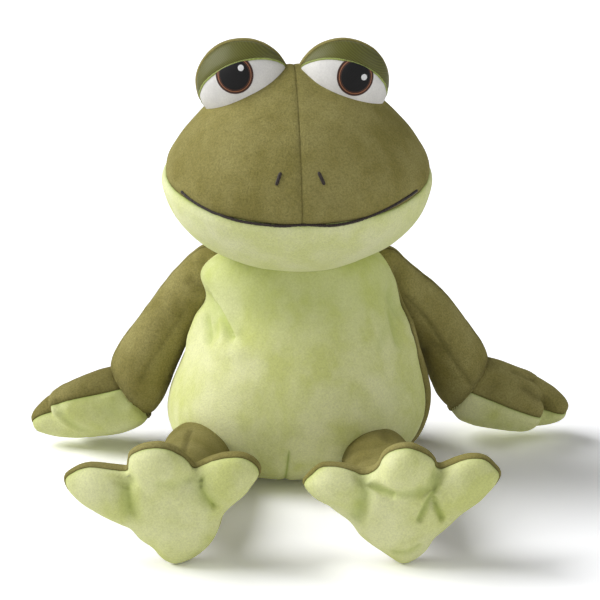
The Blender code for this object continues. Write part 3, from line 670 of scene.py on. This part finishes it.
press(head, head_folds)
lumps(head, height=0.0008, fineness=22)
gather(head, crest_seam, depth=0.0005, width=0.0013, where=over_the_crown, seam_shade=0.42)
gather(head, mouth_seam)
gather(head, nape_seam, depth=0.0014, width=0.0020)
on_head = riding("head")
for word, side in sides.items():
    on_sides = {mouth_seam: True, nape_seam: False, crest_seam: side > 0}
    panel(f"crown_panel_{word}", head, on_sides, olive, f"crown_{word}", on_head)
panel("chin_panel", head, {mouth_seam: False, nape_seam: False}, lit_green, "chin", on_head)
panel("head_back_panel", head, {nape_seam: True}, olive, "head_back", on_head)
filling("head_filling", head, "head_stuffing", on_head)
head_tree = BVHTree.FromBMesh(head)


def build_thread_group():
    """Twisted embroidery thread: fine slanting strands over a slightly uneven colour."""
    grey = (0.5, 0.5, 0.5, 1)
    group = pattern_group("thread_strands", Colour=grey, Light=grey, Scale=1.0, Turn=(0, 0, 0))
    given = added(group, "NodeGroupInput", {}).outputs
    place = added(group, "ShaderNodeTexCoord", {}).outputs["Object"]
    mapping = added(group, "ShaderNodeMapping", {"Vector": place, "Rotation": given["Turn"]})
    inputs = {
        "Vector": mapping.outputs["Vector"], "Scale": given["Scale"], "Distortion": 1.2, "Detail": 1.0,
    }
    waves = added(group, "ShaderNodeTexWave", inputs, wave_type="BANDS", bands_direction="X")
    strands = waves.outputs["Fac"]
    colour = mixed(group, strands, given["Colour"], given["Light"])
    added(group, "NodeGroupOutput", {"Colour": colour, "Height": strands})
    return group


thread_strands = build_thread_group()


def embroidery(name, colour, light, scale=260, turn=(0, 0, 0), roughness=0.55, bump=0.4, sheen=0.1):
    """Satin stitch in rayon thread, which shines a little. The turn slants its strands."""
    finish = {"Roughness": roughness, "Specular IOR Level": 0.35, "Sheen Weight": sheen}
    looks = {"Colour": colour, "Light": light, "Scale": scale, "Turn": turn}
    return patterned(name, thread_strands, finish, bump, relief_depth=0.0003, **looks)


black_thread = embroidery("black_thread", srgb(38, 30, 26), srgb(62, 52, 44), 420, (0.3, 0.2, 0.8))


def smooth_run(points, count):
    """Evenly spread points on a smooth curve through a few."""
    spots = []
    last = len(points) - 1
    for i in range(count + 1):
        place = i / count * last
        first = min(int(place), last - 1)
        a, b = points[max(first - 1, 0)], points[first]
        c, d = points[first + 1], points[min(first + 2, last)]
        spots.append(eased(b, c, (c - a) / 2, (d - b) / 2, place - first))
    return spots


def sewn_to_head(piece, node):
    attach(piece, "head")
    if node:
        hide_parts(node)


def sewn_thread(name, spots, radius, material, node, stitch=0.0):
    """A line of stitches: a tube along these places, drawn in where each stitch dives."""
    line = bpy.data.curves.new(name, "CURVE")
    line.dimensions = "3D"
    line.bevel_depth = radius
    line.bevel_resolution = 3
    line.use_fill_caps = True
    spline = line.splines.new("POLY")
    spline.points.add(len(spots) - 1)
    run = 0.0
    for i, (knot, spot) in enumerate(zip(spline.points, spots)):
        knot.co = (*spot, 1)
        run += (spot - spots[i - 1]).length if i else 0
        dive = abs(math.sin(math.pi * run / stitch)) ** 0.5 if stitch else 1
        ends = min(1, 0.5 + min(i, len(spots) - 1 - i) * 0.35)
        knot.radius = (0.72 + 0.28 * dive) * ends
    curve = placed(name + "_run", line)
    mesh = made_mesh(curve)
    bpy.data.objects.remove(curve)
    bpy.data.curves.remove(line)
    bm = bmesh.new()
    bm.from_mesh(mesh)
    bpy.data.meshes.remove(mesh)
    bmesh.ops.remove_doubles(bm, verts=bm.verts, dist=1e-6)
    sewn_to_head(as_object(name, bm, material), node)


def on_form(tree, pixels, count, lift):
    """A run on a form's surface along picture places, lifted off the fabric."""
    run = smooth_run([seen(tree, pixel) for pixel in pixels], count)
    spots = []
    for spot in run:
        nearest, normal, _, _ = tree.find_nearest(spot)
        spots.append(nearest + normal * lift)
    return spots


mouth_pixels = (
    (181.6, 191), (192, 200), (205.5, 208), (232, 219), (258, 224), (284, 226), (303, 224.5), (332, 225.5),
    (360, 220), (387, 208.5), (404, 199), (417, 190),
)
nostril_pixels = {"right": ((280.7, 172.5), (276.3, 185.5)), "left": ((318.4, 172), (324.5, 185))}
mouth_thread_radius = 0.00105
nostril_thread_radius = 0.00115
mouth_stitch = 0.0032
mouth_run = on_form(head_tree, mouth_pixels, 150, lift=0.0003)
sewn_thread(
    "mouth_stitches", mouth_run, mouth_thread_radius, black_thread,
    "mouth_line", mouth_stitch,
)
for word, pixels in nostril_pixels.items():
    nostril_run = on_form(head_tree, pixels, 10, lift=0.0002)
    sewn_thread(
        f"nostril_stitches_{word}", nostril_run, nostril_thread_radius, black_thread,
        f"nostril_{word}",
    )


# Eyes. Each is a stuffed dome sewn into the crown: white pile in front, a dark green satin-stitched
# lid over it with a paler rolled edge, and olive pile behind. Iris, pupil and glint are embroidered.
eye_spread = 0.0331
eye_middle = -0.0031
eye_forward = {"left": 0.0120, "right": 0.0085}
eye_rise = 0.2710
eye_half = Vector((0.0310, 0.0260, 0.0288))
white = (plush(
    "white_plush", srgb(225, 223, 219), srgb(239, 237, 232), srgb(150, 148, 140),
    tuft=0.04, sheen=0.15, bump=0.3,
), "eye_white_plush")
lid_satin = (embroidery(
    "lid_satin", srgb(88, 88, 32), srgb(104, 105, 42), 300, (0.4, 0.9, 0.5), roughness=0.5, bump=0.35,
), "eyelid_satin_stitch")
lid_edge_thread = embroidery("lid_edge_thread", srgb(140, 154, 74), srgb(168, 180, 98), 420, (0, 0.5, 0.9))
iris_thread = embroidery("iris_thread", srgb(58, 32, 22), srgb(78, 46, 32), 420, (0, 0.7, 0))
copper_thread = embroidery("copper_thread", srgb(150, 92, 60), srgb(176, 116, 78), 420, (0, 0.2, 0))
pupil_thread = embroidery(
    "pupil_thread", srgb(14, 13, 14), srgb(26, 25, 26), 380, (0, 0.4, 0), roughness=0.7, bump=0.3, sheen=0,
)
glint_thread = embroidery("glint_thread", srgb(226, 226, 226), srgb(248, 248, 248), 400)
iris_outward = 0.0062
iris_above = {"left": 0.0075, "right": 0.0092}
iris_radius = 0.0122
glint_radius = 0.0019
glint_across = {"left": 0.0054, "right": 0.0041}
glint_above = {"left": -0.0004, "right": 0.0042}
# The lid's edge is sewn this far round, in degrees, and hangs this far over the discs of thread
lid_edge_reach = 112
lid_edge_steps = 120
lid_edge_radius = 0.00078
lid_edge_stitch = 0.0012
lid_edge_lift = 0.0001
lid_edge_sunk = 0.0015
lid_overhang = 0.0006


def eye_centre(word):
    return head_frame @ Vector((sides[word] * eye_spread + eye_middle, -eye_forward[word], eye_rise))


def on_eye(word, across, above, proud):
    """A place on the front of an eye, at a distance off its fabric."""
    share = 1 - (across / eye_half.x) ** 2 - (above / eye_half.z) ** 2
    deep = eye_half.y * math.sqrt(max(0.02, share))
    outward = Vector((across / eye_half.x**2, -deep / eye_half.y**2, above / eye_half.z**2)).normalized()
    return eye_centre(word) + turned @ (Vector((across, -deep, above)) + outward * proud)


def stitched_disc(name, word, middle, radius, thickness, proud, material, node, lid_cut):
    """A patch of embroidery on the front of an eye, rounded at its rim and cut by the lid."""
    bm = bmesh.new()
    bmesh.ops.create_uvsphere(bm, u_segments=72, v_segments=24, radius=1)
    for vert in bm.verts:
        x, y, rise = vert.co
        bulge = math.copysign(abs(rise) ** 0.5, rise)
        vert.co = on_eye(word, middle[0] + x * radius, middle[1] + y * radius, proud + bulge * thickness)
    if lid_cut:
        cut(bm, *lid_cut, clear_outer=True)
        rim = [edge for edge in bm.edges if edge.is_boundary]
        bmesh.ops.holes_fill(bm, edges=rim, sides=0)
    face_outward(bm)
    sewn_to_head(as_object(name, bm, material), node)


for word, side in sides.items():
    centre = eye_centre(word)
    lid_normal = (turned @ Vector((side * 0.228, 0.718, 0.658))).normalized()
    lid_point = centre + turned @ Vector((-side * 0.0055, -0.0195, 0.0190))
    rim_normal = turned @ y_axis
    rim_point = centre + turned @ Vector((0, -0.0030, 0))

    def eye_place(unit, centre=centre):
        return centre + turned @ Vector((unit.x * eye_half.x, unit.y * eye_half.y, unit.z * eye_half.z))

    eye = stuffed_form(around=80, along=56, place=eye_place)
    lid_seam = seam(eye, lid_point, lid_normal, width=0.0012)
    rim_seam = seam(eye, rim_point, rim_normal, width=0.0014)
    lumps(eye, height=0.0003, fineness=60)
    gather(eye, lid_seam, depth=0.0005, width=0.0012)
    gather(eye, rim_seam, depth=0.0009, width=0.0014)
    sewn_up(eye, "eye", word, on_head, (
        ("eye_white", {lid_seam: False, rim_seam: False}, white),
        ("eyelid", {lid_seam: True, rim_seam: False}, lid_satin),
        ("eye_back", {rim_seam: True}, olive),
    ))
    eye_tree = BVHTree.FromBMesh(eye)

    # The lid's rolled edge follows the lid's plane round the front of the dome
    hub = centre + lid_normal * lid_normal.dot(lid_point - centre)
    ahead = turned @ Vector((0, -1, 0))
    ahead = (ahead - lid_normal * ahead.dot(lid_normal)).normalized()
    edge = []
    for i in range(lid_edge_steps + 1):
        angle = math.radians(-lid_edge_reach + 2 * lid_edge_reach * i / lid_edge_steps)
        way = Matrix.Rotation(angle, 3, lid_normal) @ ahead
        spot, outward, _, _ = eye_tree.ray_cast(hub, way)
        shell, crown_out, _, _ = head_tree.find_nearest(spot)
        if (spot - shell).dot(crown_out) > -lid_edge_sunk:
            edge.append(spot + outward * lid_edge_lift)
    sewn_thread(
        f"lid_edge_{word}", edge, lid_edge_radius, lid_edge_thread,
        f"eyelid_trim_{word}", lid_edge_stitch,
    )

    # Discs of thread, one on another: how far in from the iris's rim, how thick and how proud each is
    lid_cut = (lid_point - lid_normal * lid_overhang, lid_normal)
    iris_middle = (side * iris_outward, iris_above[word])
    glint_middle = (iris_middle[0] + glint_across[word], iris_middle[1] + glint_above[word])
    for layer, inset, thickness, proud, thread, node, slot in (
        ("iris_stitches", 0, 0.00035, 0.0002, iris_thread, f"iris_{word}", "iris_thread"),
        ("iris_ring", 0.0013, 0.00038, 0.0003, copper_thread, None, "iris_thread"),
        ("iris_inner", 0.0018, 0.00038, 0.0004, iris_thread, None, "iris_thread"),
        ("pupil_stitches", 0.0028, 0.00040, 0.0006, pupil_thread, f"pupil_{word}", "black_thread"),
    ):
        stitched_disc(
            f"{layer}_{word}", word, iris_middle, iris_radius - inset, thickness, proud,
            thread, node, lid_cut,
        )
    stitched_disc(
        f"glint_stitches_{word}", word, glint_middle, glint_radius, 0.00035, 0.0010,
        glint_thread, f"highlight_{word}", None,
    )
    eye.free()
head.free()


# Arms. Each sleeve is a front and a back panel of olive pile that meet along its top and its
# underside, with one sewn line down its front. It hangs out to the side and a little back, and
# bends under the chin, where it is sewn to the torso.
shoulder_spread = 0.0615
shoulder_back = 0.0180
shoulder_rise = 0.1300
wrist_spread = 0.1215
wrist_back = {1: 0.0400, -1: 0.0260}
wrist_rise = 0.0430
arm_radius = 0.0205
wrist_slope = math.radians(35)
# The left arm is drawn in more where it is sewn on
root_slimness = {"left": 0.24, "right": 0.0}
root_span = 0.22
# The long seam flattens out this far before the sleeve's end
end_margin = 0.0080
# The sleeve's end is flat and drawn in to the hand, with painted shade in the crease round it and a little
# on the end itself
end_flatness = 0.97
end_gather = 0.10
end_gather_reach = 0.0030
end_crease_shade = 0.75
cap_crease_shade = 0.15
arm_rows = (
    (-0.190, 0.00, 0.000),
    (-0.135, 0.70, 0.000),
    (0.000, 1.00, 0.000),
    (0.200, 0.97, 0.030),
    (0.400, 0.92, 0.048),
    (0.600, 0.99, 0.036),
    (0.800, 1.11, 0.010),
    (0.950, 1.14, -0.006),
    (1.100, 1.13, 0.000),
    (1.250, 1.04, 0.000),
    (1.350, 0.60, 0.000),
    (1.370, 0.00, 0.000),
)


def aimed(along, across):
    """Turns local Z along one direction, with local X as near the other as it can be."""
    z_way = along.normalized()
    y_way = z_way.cross(across).normalized()
    x_way = y_way.cross(z_way)
    return Matrix((x_way, y_way, z_way)).transposed()


end_ways = {
    word: Vector((side * math.cos(wrist_slope), 0, -math.sin(wrist_slope))) for word, side in sides.items()
}


def shoulder(side):
    return Vector((side * shoulder_spread, shoulder_back, shoulder_rise))


def wrist(side):
    return Vector((side * wrist_spread, wrist_back[side], wrist_rise))


arm_folds = {
    "right": (
        (((204, 262), (212, 275)), 0.0045, 0.0022),
        (((190, 282), (208, 290), (212, 300)), 0.004, 0.0018),
        (((116, 350), (128, 372)), 0.005, 0.0008),
        (((184, 310), (173, 328), (159, 349), (147, 366), (140, 381)), 0.0013, 0.0006),
    ),
    "left": (
        (((398, 270), (392, 286)), 0.0045, 0.0022),
        (((420, 352), (432, 346), (440, 350)), 0.005, 0.002),
        (((402, 300), (410, 312)), 0.0045, 0.0012),
        (((404, 294), (427, 319), (442, 342), (457, 365), (471, 386)), 0.0015, 0.0012),
    ),
}
for word, side in sides.items():
    length = (wrist(side) - shoulder(side)).length
    arm_way = (wrist(side) - shoulder(side)).normalized()
    turn = aimed(arm_way, x_axis * side)

    def arm_place(unit, side=side, turn=turn, length=length, slimness=root_slimness[word]):
        along, radius, bow = row_at(arm_rows, height_share(unit))
        radius *= 1 - slimness * bell(along / root_span)
        way = flat_direction(unit) * radius * arm_radius
        return shoulder(side) + turn @ Vector((way.x + bow * length, way.y, along * length))

    arm = stuffed_form(around=72, along=84, place=arm_place)
    arm_seam = seam(arm, shoulder(side), y_axis - arm_way * y_axis.dot(arm_way), width=0.0018)
    press(arm, arm_folds[word])
    lumps(arm, height=0.0007, fineness=40)
    end_way = end_ways[word]

    def before_the_end(co, end=wrist(side), end_way=end_way):
        return limited((end - co).dot(end_way) / end_margin)

    gather(arm, arm_seam, depth=0.0010, width=0.0018, where=before_the_end)
    crease_shade = arm.verts.layers.float["crease_shade"]
    for vert in arm.verts:
        beyond = (vert.co - wrist(side)).dot(end_way)
        drawn_in = math.exp(min(0, beyond) / end_gather_reach)
        inward = wrist(side) - vert.co
        inward -= end_way * inward.dot(end_way)
        if beyond > 0:
            vert.co -= end_way * beyond * end_flatness
        vert.co += inward * end_gather * drawn_in
        vert[crease_shade] = max(vert[crease_shade], drawn_in * (end_crease_shade if beyond < 0 else cap_crease_shade))
    bends = bending("torso", f"arm_{word}", shoulder(side), arm_way, before=0.008, beyond=0.022)
    sewn_up(arm, "arm", word, bends, (
        ("sleeve_front", {arm_seam: False}, olive),
        ("sleeve_back", {arm_seam: True}, olive),
    ))
    arm.free()


# Hands. A flat mitten with three blunt fingers: an olive back panel sewn to a pale green palm all
# round its edge. It is sewn into the sleeve's end and rests fingers down beside the seat.
hand_length = 0.0750
hand_middle_share = 0.46
hand_half_thickness = 0.0230
# Painted shade: the pile is painted darker near the sleeve's end, which shades it
wrist_shade = {"left": 0.0, "right": 0.42}
wrist_shade_reach = 0.036
hand_dip = {"left": math.radians(17), "right": math.radians(22)}
hand_roll = {"left": math.radians(90), "right": math.radians(62)}
# How far the near edge is bent towards the back of the hand, at the wrist and at the fingertip
near_edge_bend = {"left": (-0.0020, -0.0055), "right": (-0.0040, 0.0060)}
near_edge_share = 0.3
hand_tip_share = 0.62
palm_fullness = 0.50
# Behind the wrist seam the hand's root narrows, inside the sleeve
hand_root_start = 0.0008
hand_root_span = 0.0050
hand_root_narrowing = 0.45
hand_outline = (
    (0, 0.53), (0.03, 0.5), (0.056, 0.4), (0.08, 0.29), (0.105, 0.33),
    (0.135, 0.38), (0.165, 0.375), (0.21, 0.345), (0.27, 0.33), (0.35, 0.37),
    (0.4, 0.47), (0.44, 0.6), (0.47, 0.68), (0.5, 0.705),
)


def outline_reach(outline, turn_share):
    """The outline's reach at this share of a turn, on a smooth curve through its points."""
    i = max(1, min(len(outline) - 1, sum(1 for share, _ in outline if share < turn_share)))
    (start, low), (end, high) = outline[i - 1], outline[i]
    before = outline[i - 2] if i > 1 else (2 * start - end, high)
    after = outline[i + 1] if i + 1 < len(outline) else (2 * end - start, low)
    span = end - start
    part = (turn_share - start) / span
    slope_in = (high - before[1]) / (end - before[0]) * span
    slope_out = (after[1] - low) / (after[0] - start) * span
    return eased(low, high, slope_in, slope_out, part)


def pillow(unit, reach, half_thickness, fullness=0.8):
    swell = math.copysign(abs(unit.z) ** fullness, unit.z)
    return Vector((unit.x * reach, unit.y * reach, swell * half_thickness))


hand_folds = {
    "right": (
        (((57, 404), (60, 414), (70, 425), (84, 432)), 0.0042, 0.002),
        (((112, 412), (124, 400)), 0.006, 0.0012),
        (((72, 392), (92, 384)), 0.007, -0.001),
    ),
    "left": (
        (((549, 414), (545, 404), (536, 395), (524, 386)), 0.004, 0.0026),
        (((536, 380), (526, 376), (514, 370)), 0.0034, 0.0022),
        (((494, 384), (486, 392)), 0.005, 0.0014),
    ),
}
for word, side in sides.items():
    fingers = Vector((side * math.cos(hand_dip[word]), 0, -math.sin(hand_dip[word])))
    back = Vector((0, math.cos(hand_roll[word]), math.sin(hand_roll[word])))
    across = fingers.cross(back).normalized()
    back = across.cross(fingers)
    hand_turn = Matrix((across, fingers, back)).transposed()
    hand_centre = wrist(side) + hand_turn @ Vector((0, hand_middle_share * hand_length, 0))

    def hand_place(unit, hand_turn=hand_turn, hand_centre=hand_centre):
        share = abs(math.atan2(unit.x, unit.y) / math.tau)
        local = pillow(unit, outline_reach(hand_outline, share) * hand_length, hand_half_thickness)
        towards_tip = local.y / hand_length + hand_middle_share
        local.z *= 1 - (1 - hand_tip_share) * limited(towards_tip)
        if local.z < 0:
            local.z *= 1 + palm_fullness * limited(1 - towards_tip)
        return hand_centre + hand_turn @ local

    hand = stuffed_form(around=112, along=44, place=hand_place)
    hand_seam = seam(hand, hand_centre, back, width=0.0014)
    wrist_bend, tip_bend = near_edge_bend[word]
    for vert in hand.verts:
        local = hand_turn.inverted() @ (vert.co - hand_centre)
        towards_tip = local.y / hand_length + hand_middle_share
        near_side = limited(side * local.x / (near_edge_share * hand_length))
        vert.co += back * near_side * (wrist_bend + (tip_bend - wrist_bend) * towards_tip)
        out = vert.co - wrist(side)
        behind = max(0, -out.dot(end_ways[word]) - hand_root_start)
        around = out - end_ways[word] * out.dot(end_ways[word])
        vert.co -= around * min(hand_root_narrowing, behind / hand_root_span)
    press(hand, hand_folds[word])
    lumps(hand, height=0.0005, fineness=55)
    gather(hand, hand_seam, depth=0.0006, width=0.0014)
    # Painted shade on the hand near the wrist
    painted_shade = hand.verts.layers.float["painted_shade"]
    for vert in hand.verts:
        from_wrist = (vert.co - wrist(side)).length
        vert[painted_shade] = wrist_shade[word] * bell(from_wrist / wrist_shade_reach)
    bends = bending(f"arm_{word}", f"hand_{word}", wrist(side), fingers, before=0.006, beyond=0.014)
    sewn_up(hand, "hand", word, bends, (
        ("hand_back", {hand_seam: True}, olive),
        ("palm", {hand_seam: False}, green),
    ))
    hand.free()


# Legs. Straight stuffed tubes, an upper and an under panel of olive pile, sewn into the front of
# the seat. They lie on the table and point at the viewer, with the feet sewn upright on their ends.
hip_spread = {"left": 0.0500, "right": 0.0685}
hip_forward = {"left": 0.0580, "right": 0.0475}
hip_rise = 0.0230
leg_radius = 0.0238
leg_flatness = 0.89
# Painted shade: each leg is painted this far towards its shaded colour all over
leg_shade = 0.22
leg_rows = (
    (-0.195, 0.00, 0),
    (-0.139, 0.707, 0),
    (0.000, 1.00, 0),
    (0.200, 0.98, 0),
    (0.450, 0.97, 0),
    (0.700, 0.90, 0),
    (0.900, 0.79, 0),
    (1.000, 0.76, 0),
    (1.100, 0.54, 0),
    (1.150, 0.00, 0),
)
foot_forward = 0.1800
foot_rise = 0.0405
foot_side = {"left": 0.0650, "right": -0.0815}
foot_roll = {"left": math.radians(-1), "right": math.radians(7)}
leg_folds = {
    "right": (
        (((190, 430), (187, 440), (184, 452)), 0.0016, 0.0016),
        (((160, 440), (166, 432)), 0.0045, 0.0012),
    ),
    "left": (
        (((338, 470), (346, 456), (362, 448), (378, 446)), 0.0035, 0.0013),
        (((346, 474), (354, 462), (370, 456)), 0.0035, 0.0013),
        (((384, 432), (389, 441)), 0.003, 0.0012),
    ),
}


def hip(word):
    return Vector((sides[word] * hip_spread[word], -hip_forward[word], hip_rise))


def foot_centre(word):
    return Vector((foot_side[word], -foot_forward, foot_rise))


def ankle(word):
    return foot_centre(word) + Vector((0, 0.0180, -0.0060))


for word, side in sides.items():
    length = (ankle(word) - hip(word)).length
    leg_way = (ankle(word) - hip(word)).normalized()
    turn = aimed(leg_way, x_axis)

    def leg_place(unit, word=word, turn=turn, length=length):
        along, radius, _ = row_at(leg_rows, height_share(unit))
        way = flat_direction(unit) * radius * leg_radius
        return hip(word) + turn @ Vector((way.x, way.y * leg_flatness, along * length))

    leg = stuffed_form(around=80, along=64, place=leg_place)
    leg_seam = seam(leg, hip(word), Vector((0, 0, 1)) - leg_way * leg_way.z, width=0.0018)
    press(leg, leg_folds[word])
    # Painted shade over the whole leg
    painted_shade = leg.verts.layers.float["painted_shade"]
    for vert in leg.verts:
        vert[painted_shade] = leg_shade
    lumps(leg, height=0.0008, fineness=36)
    gather(leg, leg_seam, depth=0.0010, width=0.0018)
    bends = bending("torso", f"leg_{word}", hip(word), leg_way, before=0.005, beyond=0.030)
    sewn_up(leg, "leg", word, bends, (
        ("leg_top", {leg_seam: True}, olive),
        ("leg_under", {leg_seam: False}, olive),
    ))
    leg.free()


# Feet. Plump and webbed, with a curled middle toe between two long ones: a pale green sole that
# faces the viewer, sewn round its edge to an olive top. The heel stands on the table.
foot_reach = 0.0415
foot_half_thickness = 0.0165
# The middle toe curls forward from this share of its reach, and over this share of the foot's width
toe_curl = 0.0080
toe_curl_from = 0.35
toe_curl_width = 0.6
# Each long toe sits this part of a turn lower, about its own place round the foot
toe_lowered = 0.0095
long_toe_place = 0.18
long_toe_span = 0.10
sole_seam_forward = 0.0028
sole_seam_lean = math.radians(4)
sole_normal = Vector((0, math.cos(sole_seam_lean), math.sin(sole_seam_lean)))
foot_outlines = {
    # share of a turn from the middle toe towards the foot's own left, reach
    "right": (
        (-0.5, 0.97), (-0.47, 0.915), (-0.43, 0.76), (-0.37, 0.715), (-0.321, 0.715),
        (-0.283, 0.851), (-0.238, 1.142), (-0.215, 1.37), (-0.195, 1.53), (-0.178, 1.59),
        (-0.163, 1.5), (-0.148, 1.36), (-0.132, 1.08), (-0.108, 0.85), (-0.09, 0.9),
        (-0.073, 0.985), (-0.046, 1.02), (-0.012, 1.008), (0.015, 0.965), (0.045, 0.88),
        (0.085, 0.77), (0.112, 0.75), (0.132, 0.98), (0.149, 1.2), (0.168, 1.39),
        (0.188, 1.48), (0.207, 1.465), (0.223, 1.32), (0.249, 1.07), (0.291, 0.86),
        (0.34, 0.85), (0.4, 0.9), (0.46, 0.94), (0.5, 0.97),
    ),
    "left": (
        (-0.5, 0.965), (-0.46, 0.89), (-0.423, 0.84), (-0.357, 0.845), (-0.304, 0.88),
        (-0.249, 1.165), (-0.228, 1.42), (-0.212, 1.56), (-0.192, 1.5), (-0.17, 1.38),
        (-0.155, 1.12), (-0.14, 0.85), (-0.112, 0.74), (-0.085, 0.77), (-0.06, 0.9),
        (-0.035, 0.965), (0, 0.99), (0.036, 0.942), (0.078, 0.85), (0.097, 0.785),
        (0.117, 0.88), (0.134, 1.22), (0.15, 1.4), (0.17, 1.47), (0.186, 1.5),
        (0.2, 1.43), (0.221, 1.24), (0.265, 0.91), (0.322, 0.76), (0.39, 0.72),
        (0.444, 0.85), (0.5, 0.965),
    ),
}
foot_folds = {
    "right": (
        (((127, 484), (126, 492), (128, 500), (130, 512)), 0.0056, 0.004),
        (((127, 486), (127.5, 498), (129, 511)), 0.0022, 0.0048),
        (((200, 480), (200, 487), (204, 497), (210, 503)), 0.0052, 0.0034),
        (((200.5, 478), (201, 489), (206, 499), (215, 508)), 0.002, 0.0046),
        (((160, 483), (174, 484), (188, 479)), 0.003, 0.0012),
        (((158, 466),), 0.017, -0.003),
        (((232, 486),), 0.012, -0.003),
        (((96, 490),), 0.011, -0.0016),
    ),
    "left": (
        (((363, 478), (365, 494), (361, 508), (355, 519)), 0.005, 0.0044),
        (((371, 484), (382, 490), (393, 494)), 0.0026, 0.004),
        (((393, 494), (412, 494), (427, 490), (436, 484)), 0.0032, 0.0022),
        (((436, 482), (433, 492), (428, 502), (420, 520)), 0.002, 0.0034),
        (((434, 498), (437, 508), (443, 520)), 0.0018, 0.004),
        (((437, 474), (434, 486)), 0.004, 0.003),
        (((404, 474),), 0.015, -0.0034),
        (((330, 486),), 0.011, -0.002),
        (((464, 482),), 0.012, -0.0024),
        (((394, 553), (408, 553), (420, 546)), 0.0022, 0.0014),
    ),
}
for word, side in sides.items():
    foot_turn = Matrix.Rotation(-foot_roll[word], 3, "Y") @ Matrix(((1, 0, 0), (0, 0, -1), (0, 1, 0)))
    middle = foot_centre(word)

    def foot_place(unit, word=word, foot_turn=foot_turn, middle=middle):
        share = math.atan2(unit.x, unit.y) / math.tau
        low = toe_lowered * bell((abs(share) - long_toe_place) / long_toe_span)
        reach = outline_reach(foot_outlines[word], share - math.copysign(low, share)) * foot_reach
        return middle + foot_turn @ pillow(unit, reach, foot_half_thickness)

    foot = stuffed_form(around=200, along=96, place=foot_place)
    foot_seam = seam(foot, middle - y_axis * sole_seam_forward, sole_normal, width=0.0014)
    for vert in foot.verts:
        local = foot_turn.inverted() @ (vert.co - middle)
        rise = max(0, local.y / foot_reach - toe_curl_from) / (1 - toe_curl_from)
        near_axis = max(0, 1 - (local.x / (foot_reach * toe_curl_width)) ** 2)
        vert.co -= y_axis * toe_curl * rise * near_axis
    press(foot, foot_folds[word])
    lumps(foot, height=0.0006, fineness=45)
    gather(foot, foot_seam, depth=0.0006, width=0.0014)
    stand_flat(foot)
    sewn_up(foot, "foot", word, riding(f"foot_{word}"), (
        ("foot_top", {foot_seam: True}, olive),
        ("sole", {foot_seam: False}, green),
    ))
    foot.free()
